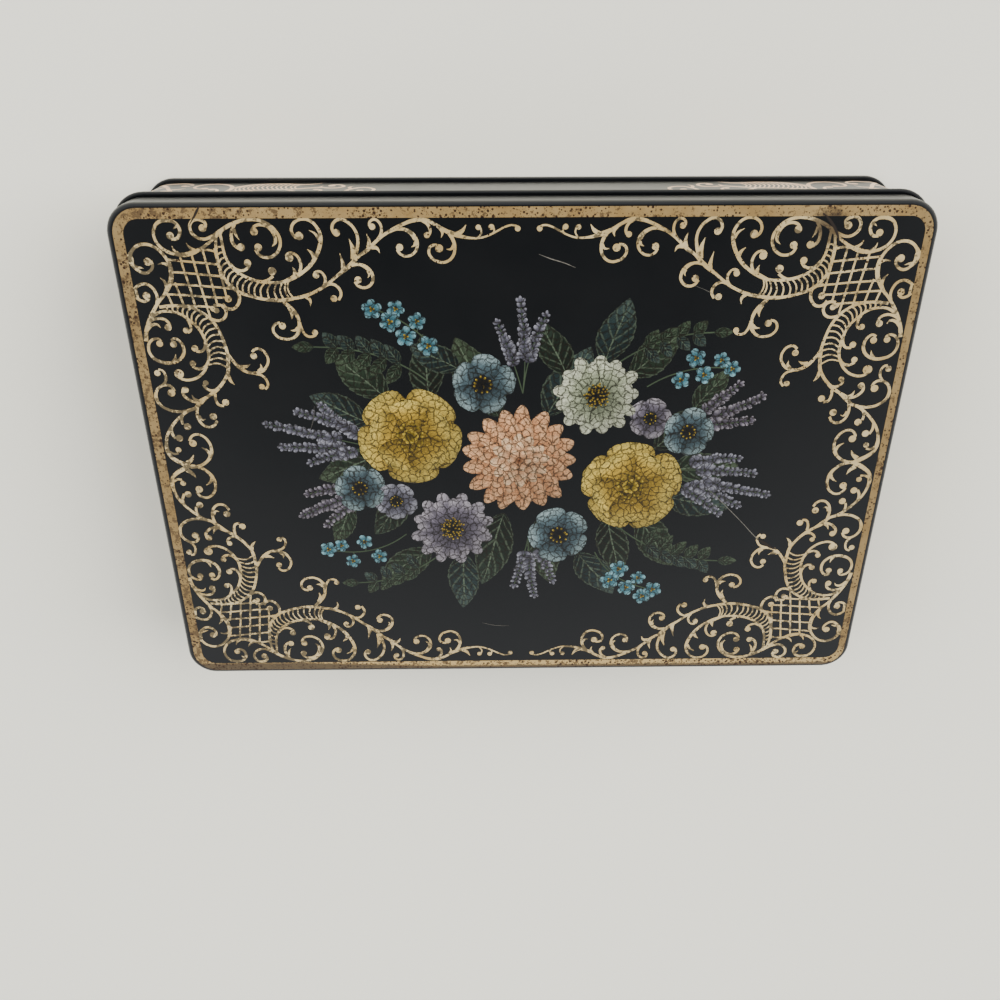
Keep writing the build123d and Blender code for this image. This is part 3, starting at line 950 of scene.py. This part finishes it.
# The scrolls of two wall ends: drawn flat and mirrored, then bent round the body's corner
def makeCornerScrolls(corner, signX, signY):
    lines = []
    balls = []
    for way in (-wallScroll["stretch"], wallScroll["stretch"]):
        for line in wallLines + [wallBand["inner"], wallBand["outer"]] + bandRibs(wallBand):
            lines.append([(way * s, -h, width) for s, h, width in line])
        balls += [(way * s, h, radius) for s, h, radius in wallKnobs]
    item = drawLines("cornerScrolls" + corner, lines, weight=wallScroll["weight"])
    deselectAll()
    placeKnobs(knobPattern, balls)
    pressFlat(item, 0)
    wrapCorner(item, signX, signY)
    bpy.ops.object.mode_set(mode="EDIT")
    bpy.ops.mesh.select_all(action="SELECT")
    bpy.ops.mesh.normals_make_consistent(inside=False)
    bpy.ops.object.mode_set(mode="OBJECT")
    bpy.ops.object.shade_flat()
    finishPiece(item, "cornerScrolls" + corner, wallGold, "body")


for cornerName, signs in corners.items():
    makeCornerScrolls(cornerName, *signs)
bpy.data.objects.remove(knobPattern)
print("wall scrolls laid")

posy = {
    "base": 0.004,  # mm, the lowest film of the painting over the lacquer
    "layer": 0.0006,  # mm, from one petal's film to the next, so that no two lie in one plane
    "buds": 0.0262,  # mm, over the leaves
    "budReach": 3.6,  # mm, buds rooted further apart than this cannot overlap
    "bloom": 0.052,  # mm, over the buds
    "thick": 0.09,  # mm, how far each film's edge reaches down into the sheet
    # mm over the bloom's lowest film
    "ringStep": 0.005,
    "upperRing": 0.006,
    "heart": 0.012,
    "stamens": 0.016,
    "stamenStep": 0.003,
    "outerStamens": 0.02,
    "veinColour": "5d6b58",
    "crackleColour": "17140f",
    "crackleDepth": 0.86,
    "roughness": 0.34,
    "coat": 0.2,
    "coatRoughness": 0.15,
    "stemColours": ("1b241c", "46543f"),
    "crackleCell": 2.3,
    "crackleLine": 0.36,
    "seed": 11,
}
painting = random.Random(posy["seed"])


# A plain square of faces with its own UV map, the pattern for petals and leaves
def makeGrid(along, across):
    deselectAll()
    bpy.ops.mesh.primitive_grid_add(x_subdivisions=along, y_subdivisions=across, size=1,
                                    calc_uvs=True)
    item = bpy.context.active_object
    item.data.color_attributes.new("ink", "FLOAT_COLOR", "POINT")
    return item


def blendColour(first, second, share):
    share = min(max(share, 0.0), 1.0)
    return tuple(a + (b - a) * share for a, b in zip(first, second))


blade = {
    "toothDepth": 0.1,
    "notchWidth": 0.3,
    "waves": 7,
    "bodyEnd": 0.59,  # how far along the middle colour gives way to the tip's
    "rimShade": 0.5,
    "sideShade": 0.16,
}


# One petal or leaf: the pattern square drawn out from its root, coloured from base to tip
def paintBlade(pattern, root, turn, length, width, colours, height, wide=1.5, round=2.4, blunt=0.5,
               notch=0.0, wave=0.0, teeth=0, bend=0.0, glow=1.0):
    item = pattern.copy()
    item.data = pattern.data.copy()
    bpy.context.collection.objects.link(item)
    ink = item.data.color_attributes["ink"]
    base, body, tip = (linearColour(colour) for colour in petalColours[colours])
    cosTurn, sinTurn = math.cos(math.radians(turn)), math.sin(math.radians(turn))
    swing = painting.uniform(0, 6.28)
    for index, vertex in enumerate(item.data.vertices):
        raw = vertex.co.x + 0.5
        along = 0.5 - 0.5 * math.cos(math.pi * raw)
        side = vertex.co.y * 2
        half = width / 2 * max(1 - abs(2 * along**wide - 1) ** round, 0.0) ** blunt
        if teeth:
            half *= 1 + blade["toothDepth"] * ((raw * teeth) % 1.0) * min(1.0, abs(side) * 1.5)
        reach = along * (1 - notch * math.exp(-((side / blade["notchWidth"]) ** 2)) * along**5)
        reach *= 1 + wave * math.sin(side * blade["waves"] + swing) * along**3
        x = reach * length
        y = side * half + bend * length * math.sin(math.pi * along * 0.5) ** 2
        vertex.co = ((root[0] + x * cosTurn - y * sinTurn) * millimetre,
                     (root[1] + x * sinTurn + y * cosTurn) * millimetre, height * millimetre)
        if along < blade["bodyEnd"]:
            colour = blendColour(base, body, along * 1.7)
        else:
            colour = blendColour(body, tip, (along - blade["bodyEnd"]) * 2.5)
        rim = max(abs(side) ** 5, along**12 * 0.7)
        shade = glow * (1 - blade["rimShade"] * rim) * (1 + blade["sideShade"] * side)
        ink.data[index].color = (colour[0] * shade, colour[1] * shade, colour[2] * shade, 1)
    return item


# Join the painted pieces of one motif and give their film its thickness
def joinPainting(name, parts, material):
    deselectAll()
    for part in parts:
        part.select_set(True)
    bpy.context.view_layer.objects.active = parts[0]
    bpy.ops.object.join()
    item = bpy.context.active_object
    item.location = (0, 0, lidTop * millimetre)
    applyPlace(item)
    makeActive(item)
    bpy.ops.object.mode_set(mode="EDIT")
    bpy.ops.mesh.select_all(action="SELECT")
    bpy.ops.mesh.remove_doubles(threshold=1e-9)
    bpy.ops.object.mode_set(mode="OBJECT")
    film = item.modifiers.new("film", "SOLIDIFY")
    film.thickness = posy["thick"] * millimetre
    film.offset = -1
    bpy.ops.object.modifier_apply(modifier="film")
    finishPiece(item, name, material, "lid")


# The leaf's veins: slanted side veins, the middle one and a pale edge
def veinMask(tree, uv):
    x, y = splitPlace(tree, uv)[:2]
    away = addMath(tree, "ABSOLUTE", addMath(tree, "SUBTRACT", y, 0.5))
    slant = addMath(tree, "MULTIPLY_ADD", away, -0.42, x)
    wave = addMath(tree, "SINE", addMath(tree, "MULTIPLY", slant, 50.0))
    ribs = addRange(tree, wave, (0.55, 1.0), (0.0, 0.34), True)
    spine = addRange(tree, away, (0.008, 0.035), (0.7, 0.0), True)
    edge = addRange(tree, away, (0.43, 0.5), (0.0, 0.42), True)
    return addMath(tree, "MAXIMUM", addMath(tree, "MAXIMUM", ribs, spine), edge)


# Lithographed picture ink: the painted colours, brush streaks along each petal and a dark crackle
def makeInk(name, veins):
    material, tree, shader = newMaterial(name)
    place = ownPlace(tree)
    uv = addNode(tree, "ShaderNodeUVMap").outputs["UV"]
    ink = addNode(tree, "ShaderNodeAttribute", {"attribute_name": "ink"}).outputs["Color"]
    drift = addNode(tree, "ShaderNodeVectorMath", {"operation": "MULTIPLY_ADD"},
                    {1: (90.0, 90.0, 0.0)}, {0: place, 2: uv})
    longwise = addNode(tree, "ShaderNodeMapping", None, {"Scale": (1.6, 22.0, 1.0)},
                       {"Vector": drift.outputs[0]})
    brush = addNoise(tree, longwise.outputs[0], 1.0, 3.0, 0.6)
    tone = addRange(tree, brush, (0.3, 0.72), (0.5, 1.4))
    lit = addNode(tree, "ShaderNodeVectorMath", {"operation": "SCALE"},
                  links={0: ink, "Scale": tone}).outputs[0]
    if veins:
        lit = mixColour(tree, veinMask(tree, uv), lit, posy["veinColour"])
    cracks = crackleMask(tree, place, posy["crackleCell"], posy["crackleLine"])
    fine = crackleMask(tree, place, posy["crackleCell"] * 0.5, posy["crackleLine"] * 0.5)
    both = addMath(tree, "MULTIPLY_ADD", fine, 0.45, cracks, clamp=True)
    shown = addMath(tree, "MULTIPLY", both, posy["crackleDepth"])
    colour = mixColour(tree, shown, lit, posy["crackleColour"])
    tree.links.new(colour, shader.inputs["Base Color"])
    shader.inputs["Roughness"].default_value = posy["roughness"]
    shader.inputs["Coat Weight"].default_value = posy["coat"]
    shader.inputs["Coat Roughness"].default_value = posy["coatRoughness"]
    return material


petalInk = makeInk("crackledPetalInk", False)
leafInk = makeInk("crackledLeafInk", True)
petalGrid = makeGrid(14, 10)
leafGrid = makeGrid(40, 12)
tinyGrid = makeGrid(6, 4)

petalColours = {
    "ochre": ("2e230a", "a08431", "cdb65c"),
    "ochreDeep": ("2a210a", "846c22", "b99f45"),
    "peach": ("4a2414", "b67f58", "dcae84"),
    "peachPale": ("64391f", "c39570", "e8c8a2"),
    "white": ("37412f", "979f86", "cdd1bb"),
    "mauve": ("201c25", "615c69", "a19ca5"),
    "slate": ("0f151a", "465860", "8fa4a8"),
    "sky": ("1a3a44", "497a88", "86b0ba"),
    "lilac": ("2c2b35", "62626f", "9c9da9"),
    "heart": ("2a2208", "7d6a1c", "c9ad45"),
    "dark": ("090a0c", "12161a", "1e252b"),
    "leafDark": ("0b110d", "161f18", "27322a"),
    "leafMid": ("101811", "202c20", "3a4635"),
    "leafCool": ("0d1516", "1b2728", "34413f"),
}


def spoke(centre, turn, reach):
    return (centre[0] + math.cos(math.radians(turn)) * reach,
            centre[1] + math.sin(math.radians(turn)) * reach)


# The last of a ring lies half a film higher, as it meets the first
def ringLift(index, count, levels):
    return posy["layer"] * (index % levels + 0.5 * (index == count - 1))


# A ring of small dots, such as stamens
def dotRing(parts, centre, radius, count, size, colours, height, jitter=0.15):
    for index in range(count):
        turn = 360 / count * index + painting.uniform(-8, 8)
        root = spoke(centre, turn, radius * (1 + painting.uniform(-jitter, jitter)))
        parts.append(paintBlade(tinyGrid, root, turn, size, size * 0.8, colours,
                                height + ringLift(index, count, 6), 1.0, 2.0))


def ringOfPetals(parts, centre, count, inner, length, width, colours, height, startTurn, **shape):
    for index in range(count):
        turn = startTurn + 360 / count * index + painting.uniform(-3, 3)
        root = spoke(centre, turn, inner)
        size = painting.uniform(0.94, 1.05)
        wide = width * painting.uniform(0.94, 1.05)
        glow = painting.uniform(0.9, 1.06) * (0.9 + 0.2 * math.cos(math.radians(turn - 120)))
        parts.append(paintBlade(petalGrid, root, turn, length * size, wide, colours,
                                height + ringLift(index, count, 7), glow=glow, **shape))


# A full round flower: six rings of narrow petals, each ring over the last
def paintDahlia(name, centre, radius, outerColour, innerColour):
    parts = []
    # petals, and the ring's inner radius, length and width as shares of the flower's radius
    rings = ((17, 0.30, 0.70, 0.30), (16, 0.22, 0.60, 0.27), (14, 0.15, 0.52, 0.25),
             (12, 0.09, 0.43, 0.22), (9, 0.04, 0.33, 0.18), (6, 0.01, 0.20, 0.14))
    for step, (count, inner, length, width) in enumerate(rings):
        colours = outerColour if step < 3 else innerColour
        ringOfPetals(parts, centre, count, radius * inner, radius * length, radius * width, colours,
                     posy["bloom"] + step * posy["ringStep"], step * 11.0,
                     wide=1.15, round=2.0, blunt=0.6)
    joinPainting(name, parts, petalInk)


# Five broad notched petals with five smaller ones over them, round a ring of stamens
def paintWildRose(name, centre, radius, colours, turn):
    parts = []
    bloom = posy["bloom"]
    ringOfPetals(parts, centre, 5, radius * 0.05, radius * 0.98, radius * 1.02, colours,
                 bloom, turn + 36, wide=1.9, round=2.6, notch=0.07, wave=0.03)
    ringOfPetals(parts, centre, 5, radius * 0.04, radius * 0.78, radius * 0.86, colours,
                 bloom + posy["upperRing"], turn, wide=1.8, round=2.6, notch=0.09, wave=0.035)
    dotRing(parts, centre, 0.0, 9, radius * 0.17, "heart", bloom + posy["heart"], 0.0)
    dotRing(parts, centre, radius * 0.2, 16, radius * 0.09, "heart", bloom + posy["stamens"])
    dotRing(parts, centre, radius * 0.31, 20, radius * 0.07, "ochreDeep",
            bloom + posy["outerStamens"])
    joinPainting(name, parts, petalInk)


# Two rings of strap petals, the shorter over the longer, with a dotted dome in the middle
def paintDaisy(name, centre, radius, colours, count, turn):
    parts = []
    bloom = posy["bloom"]
    ringOfPetals(parts, centre, count, radius * 0.14, radius * 0.84, radius * 0.31, colours,
                 bloom, turn, wide=1.5, round=2.8, notch=0.05)
    ringOfPetals(parts, centre, count, radius * 0.12, radius * 0.72, radius * 0.27, colours,
                 bloom + posy["upperRing"], turn + 180 / count, wide=1.5, round=2.8, notch=0.05)
    dotRing(parts, centre, 0.0, 8, radius * 0.25, "dark", bloom + posy["heart"], 0.0)
    for step, (share, number) in enumerate(((0.05, 5), (0.11, 10), (0.17, 15), (0.225, 20))):
        dotRing(parts, centre, radius * share, number, radius * 0.062,
                "heart" if step % 2 else "ochreDeep",
                bloom + posy["stamens"] + step * posy["stamenStep"])
    joinPainting(name, parts, petalInk)


# Five round petals, dark in the throat, with a small bright eye
def paintPrimrose(parts, centre, radius, colours, turn):
    bloom = posy["bloom"]
    ringOfPetals(parts, centre, 5, radius * 0.06, radius * 0.96, radius * 0.98, colours, bloom,
                 turn, wide=1.8, round=2.5, notch=0.07, wave=0.03)
    dotRing(parts, centre, 0.0, 8, radius * 0.36, "dark", bloom + posy["upperRing"], 0.0)
    dotRing(parts, centre, 0.0, 5, radius * 0.13, "heart", bloom + posy["upperRing"], 0.0)
    dotRing(parts, centre, radius * 0.2, 11, radius * 0.1, "heart", bloom + posy["stamens"])


# The lowest film height that no bud near this spot has yet
def freeLevel(taken, spot):
    near = {level for place, level in taken if math.dist(place, spot) < posy["budReach"]}
    level = next(step for step in range(len(near) + 1) if step not in near)
    taken.append((spot, level))
    return level


# A tiny flower of a sprig: five petals and a bright eye
def paintFloret(parts, centre, radius, colours, height):
    start = painting.uniform(0, 72)
    for index in range(5):
        parts.append(paintBlade(tinyGrid, centre, start + 72 * index, radius, radius * 0.78,
                                colours, height + posy["layer"] * index, 1.4, 2.2,
                                glow=painting.uniform(0.75, 1.15)))
    dotRing(parts, centre, 0.0, 3, radius * 0.28, "heart", height + posy["layer"] * 6, 0.0)


def paintLeaf(parts, root, turn, length, width, colours, bend, teeth, level):
    parts.append(paintBlade(leafGrid, root, turn, length, width, colours,
                            posy["base"] + posy["layer"] * level, 0.85, 1.7, 0.85,
                            teeth=teeth, bend=bend, glow=painting.uniform(0.85, 1.2)))


# A point on a bent stem, from its root by a control point to its tip
def curvePoint(bent, share):
    return tuple((1 - share) ** 2 * a + 2 * share * (1 - share) * b + share**2 * c
                 for a, b, c in zip(*bent))


# The stem itself, as a line of points
def stemLine(bent, steps, width):
    return [(*curvePoint(bent, share / steps), width) for share in range(steps + 1)]


# Leaves behind the flowers: root, turn in degrees, length, width, colour, bend
posyLeaves = [
    (-8, 18, 112, 30, 14, "leafMid", 0.08), (8, 18, 66, 27, 13, "leafCool", -0.1),
    (-44, 24, 128, 22, 11, "leafMid", 0.12), (-30, 24, 100, 22, 11, "leafDark", -0.1),
    (-50, 16, 160, 21, 10, "leafCool", -0.12), (-48, 4, 196, 22, 11, "leafMid", 0.1),
    (-38, -8, 226, 22, 11, "leafDark", 0.14), (-32, -32, 222, 22, 11, "leafMid", -0.1),
    (-20, -34, 262, 23, 11, "leafCool", 0.1), (-6, -18, 250, 30, 13, "leafDark", 0.08),
    (6, -20, 286, 27, 12, "leafMid", -0.1), (20, -34, 300, 22, 11, "leafCool", 0.12),
    (40, -20, 312, 24, 12, "leafMid", -0.12), (30, -20, 276, 24, 11, "leafDark", 0.1),
    (50, -12, 340, 22, 11, "leafCool", 0.12), (50, -2, 10, 23, 11, "leafMid", -0.1),
    (44, 6, 40, 20, 10, "leafDark", 0.1), (34, 32, 34, 22, 11, "leafMid", 0.12),
    (26, 36, 78, 22, 11, "leafCool", -0.1), (14, 32, 110, 20, 10, "leafDark", 0.1),
    (-20, 34, 146, 18, 9, "leafCool", 0.1), (56, 20, 60, 17, 8, "leafMid", -0.1),
    (-58, -14, 240, 17, 8, "leafMid", 0.1),
]

# Sprays of paired leaflets: root, control, tip, number of pairs, leaflet length
posySprays = [
    ((-30, 30), (-44, 42), (-66, 42), 5, 8.5), ((34, -24), (50, -38), (70, -38), 5, 8.5),
    ((30, 36), (44, 46), (60, 46), 4, 7.5), ((-28, -34), (-42, -46), (-58, -46), 4, 7.5),
]

# Fans of narrow spikes set with paired buds: root, direction, spikes, spike length, spread in
# degrees, colour
posySpikes = [
    ((-44, 6), 166, 5, 40, 46, "lilac"), ((46, -2), -14, 5, 39, 46, "lilac"),
    ((0, 26), 92, 3, 30, 34, "lilac"), ((3, -24), 274, 3, 29, 34, "lilac"),
    ((-50, -8), 202, 3, 27, 34, "mauve"), ((52, 14), 22, 3, 26, 34, "mauve"),
]

# Loose sprays of little round flowers: root, control, tip, flowers, flower radius
posySprigs = [
    ((-24, 34), (-30, 48), (-46, 54), 6, 3.3), ((26, -34), (32, -47), (48, -50), 6, 3.3),
    ((40, 28), (52, 36), (67, 34), 5, 3.0), ((-40, -26), (-52, -36), (-68, -32), 5, 3.0),
]


growth = {
    "leafTeeth": 12,
    "leafletTeeth": 6,
    "leafletSpan": (0.3, 0.66),  # where along its stem the first leaflet sits, and the run of them
    "leafletLevel": 24,  # films under the first leaflet
    "budSpan": (0.4, 0.6),
    "budSpacing": 2.4,
    "budSize": 3.4,
    "floretSpan": (0.42, 0.58),
    "floretLevels": 10,
    "stemWidths": (0.5, 0.4, 0.45, 0.3),  # of sprays, spikes, sprigs and single florets
}


# The paired leaflets of the sprays
def paintSprays(leaves, stems):
    start, run = growth["leafletSpan"]
    for root, control, tip, pairs, size in posySprays:
        bent = (root, control, tip)
        stems.append(stemLine(bent, 6, growth["stemWidths"][0]))
        heading = math.degrees(math.atan2(tip[1] - control[1], tip[0] - control[0]))
        for step in range(pairs):
            share = start + run * step / pairs
            spot = curvePoint(bent, share)
            for side, colours in ((-1, "leafCool"), (1, "leafMid")):
                paintLeaf(leaves, spot, heading + side * painting.uniform(42, 58),
                          size * (1.05 - 0.35 * share), size * 0.5, colours, 0.0,
                          growth["leafletTeeth"], growth["leafletLevel"] + step * 2 + (side > 0))
        paintLeaf(leaves, tip, heading, size * 0.8, size * 0.42, "leafMid", 0.0,
                  growth["leafletTeeth"], growth["leafletLevel"] + 12)


# The fans of spikes, each set with paired buds
def paintSpikes(buds, stems):
    taken = []
    start, run = growth["budSpan"]

    def bud(spot, turn, length, width, colours, wide, glow):
        lift = posy["buds"] + posy["layer"] * freeLevel(taken, spot)
        return paintBlade(tinyGrid, spot, turn, length, width, colours, lift, wide, 2.0, glow=glow)

    for root, heading, count, length, spread, colours in posySpikes:
        for spike in range(count):
            lean = heading + spread * (spike / (count - 1) - 0.5)
            outer = abs(spike - (count - 1) / 2)
            reach = length * (1 - 0.16 * outer) * painting.uniform(0.94, 1.05)
            curl = painting.uniform(-0.12, 0.12)
            ahead = (math.cos(math.radians(lean)), math.sin(math.radians(lean)))
            tip = (root[0] + ahead[0] * reach, root[1] + ahead[1] * reach)
            control = ((root[0] + tip[0]) / 2 - ahead[1] * reach * curl,
                       (root[1] + tip[1]) / 2 + ahead[0] * reach * curl)
            bent = (root, control, tip)
            stems.append(stemLine(bent, 5, growth["stemWidths"][1]))
            pairs = int(reach / growth["budSpacing"])
            for step in range(pairs):
                share = start + run * step / (pairs - 1)
                spot = curvePoint(bent, share)
                size = growth["budSize"] * (1.15 - 0.6 * share) * painting.uniform(0.85, 1.15)
                for side in (-1, 1):
                    turn = lean + side * painting.uniform(34, 62)
                    glow = painting.uniform(0.7, 1.15)
                    buds.append(bud(spot, turn, size, size * 0.62, colours, 1.2, glow))
            buds.append(bud(tip, lean, 2.2, 1.2, colours, 1.0, 1.0))


# The loose sprigs of little round flowers
def paintSprigs(little, stems):
    start, run = growth["floretSpan"]
    for root, control, tip, count, size in posySprigs:
        bent = (root, control, tip)
        stems.append(stemLine(bent, 6, growth["stemWidths"][2]))
        for index in range(count):
            x, y = curvePoint(bent, start + run * index / (count - 1))
            aside = painting.uniform(2.2, 4.0) * (1 if index % 2 else -1) * (index < count - 1)
            flower = (x + painting.uniform(-1, 1), y + aside)
            thin = growth["stemWidths"][3]
            halfway = ((x + flower[0]) / 2 + 0.4, (y + flower[1]) / 2, thin)
            stems.append([(x, y, thin), halfway, (*flower, thin)])
            level = growth["floretLevels"] * (index % 3)
            paintFloret(little, flower, size * painting.uniform(0.85, 1.1), "sky",
                        posy["bloom"] + posy["layer"] * level)


# The spray of flowers in the middle of the lid, from the back leaves to the front blooms
def paintPosy():
    stems, leaves, buds, little = [], [], [], []
    for index, (x, y, turn, length, width, colours, bend) in enumerate(posyLeaves):
        paintLeaf(leaves, (x, y), turn, length, width, colours, bend, growth["leafTeeth"], index)
    paintSprays(leaves, stems)
    paintSpikes(buds, stems)
    paintSprigs(little, stems)
    joinPainting("posyLeaves", leaves, leafInk)
    joinPainting("posyBuds", buds, petalInk)
    joinPainting("posyLittleFlowers", little, petalInk)
    return [[(x, -y, width) for x, y, width in stem] for stem in stems]


stemLines = paintPosy()
print("posy leaves and sprigs painted")

paintDahlia("posyDahlia", (-1, 2), 19.5, "peach", "peachPale")
paintWildRose("posyRoseLeft", (-37, 11), 16.5, "ochre", 20)
paintWildRose("posyRoseRight", (37, -8), 16.5, "ochre", 56)
paintDaisy("posyDaisyUpper", (24, 25), 14.5, "white", 13, 4)
paintDaisy("posyDaisyLower", (-24, -24), 14.5, "mauve", 12, 12)
primroses = []
for place, size, colours, turn in (
    ((-13, 29), 10.0, "slate", 10), ((13, -27), 10.5, "slate", 40), ((55, 12), 8.5, "slate", 5),
    ((-55, -8), 8.5, "slate", 30), ((42, 17), 7.0, "mauve", 0), ((-43, -13), 7.0, "lilac", 50),
):
    paintPrimrose(primroses, place, size, colours, turn)
joinPainting("posyPrimroses", primroses, petalInk)
print("posy blooms painted")


# Thin lines pressed flat on the lid, in an ink of two tones
def makeMarks(name, inkName, lines, resolution, tones, scale, detail, roughness, height):
    material, tree, shader = newMaterial(inkName)
    grain = addNoise(tree, ownPlace(tree), scale, detail)
    tree.links.new(mixColour(tree, grain, *tones), shader.inputs["Base Color"])
    shader.inputs["Roughness"].default_value = roughness
    item = drawLines(name, lines, resolution)
    pressFlat(item, height)
    bpy.ops.object.shade_flat()
    finishPiece(item, name, material, "lid")


# Thin dark stems between the blooms, in dull green picture ink
def makeStems():
    makeMarks("posyStems", "stemInk", stemLines, 4, posy["stemColours"], 160.0, 3.0, 0.4, lidTop)


makeStems()
for pattern in (petalGrid, leafGrid, tinyGrid):
    bpy.data.objects.remove(pattern)
print("posy stems drawn")

scratchGround = "1d1b19"
scratchLift = 0.03  # mm, over the lid

# Scratches and scuffs on the lid's face: points from its middle in millimetres, with width
scratches = {
    "paleScratches": (
        "8d8a82",
        [
            [(4.4, 70.6, 0.1), (8.0, 69.2, 0.3), (12.2, 67.9, 0.28), (15.6, 66.5, 0.1)],
            [(63.5, -9.0, 0.08), (70.0, -15.4, 0.2), (77.2, -22.8, 0.22), (82.0, -28.0, 0.3),
             (84.6, -30.4, 0.12)],
            [(-14.0, -64.0, 0.06), (-9.0, -65.2, 0.14), (-4.2, -65.4, 0.06)],
            [(-70.2, 12.5, 0.05), (-68.4, 17.2, 0.12), (-67.6, 22.0, 0.05)],
            [(52.0, 61.0, 0.05), (57.5, 58.6, 0.13), (61.0, 56.2, 0.05)],
        ],
    ),
    "darkScuffs": (
        "2b2019",
        [
            [(-95.0, 85.2, 0.3), (-96.2, 83.4, 0.8), (-97.4, 81.6, 0.5), (-98.9, 79.6, 0.15)],
            [(83.0, -29.2, 0.3), (85.4, -30.6, 1.1), (88.0, -32.4, 0.9), (90.6, -33.6, 0.2)],
            [(88.2, 82.4, 0.2), (91.0, 79.8, 0.9), (93.6, 76.0, 0.7), (94.6, 73.2, 0.2)],
        ],
    ),
}


# Fine marks in the lacquer and the ink, bared primer and dull rust, each set as one piece
def makeScratches():
    for name, (tone, lines) in scratches.items():
        drawn = [[(x, -y, width) for x, y, width in line] for line in lines]
        makeMarks(name, name, drawn, 5, (scratchGround, tone), 900.0, 4.0, 0.6,
                  lidTop + scratchLift)


makeScratches()
print("scratches laid")
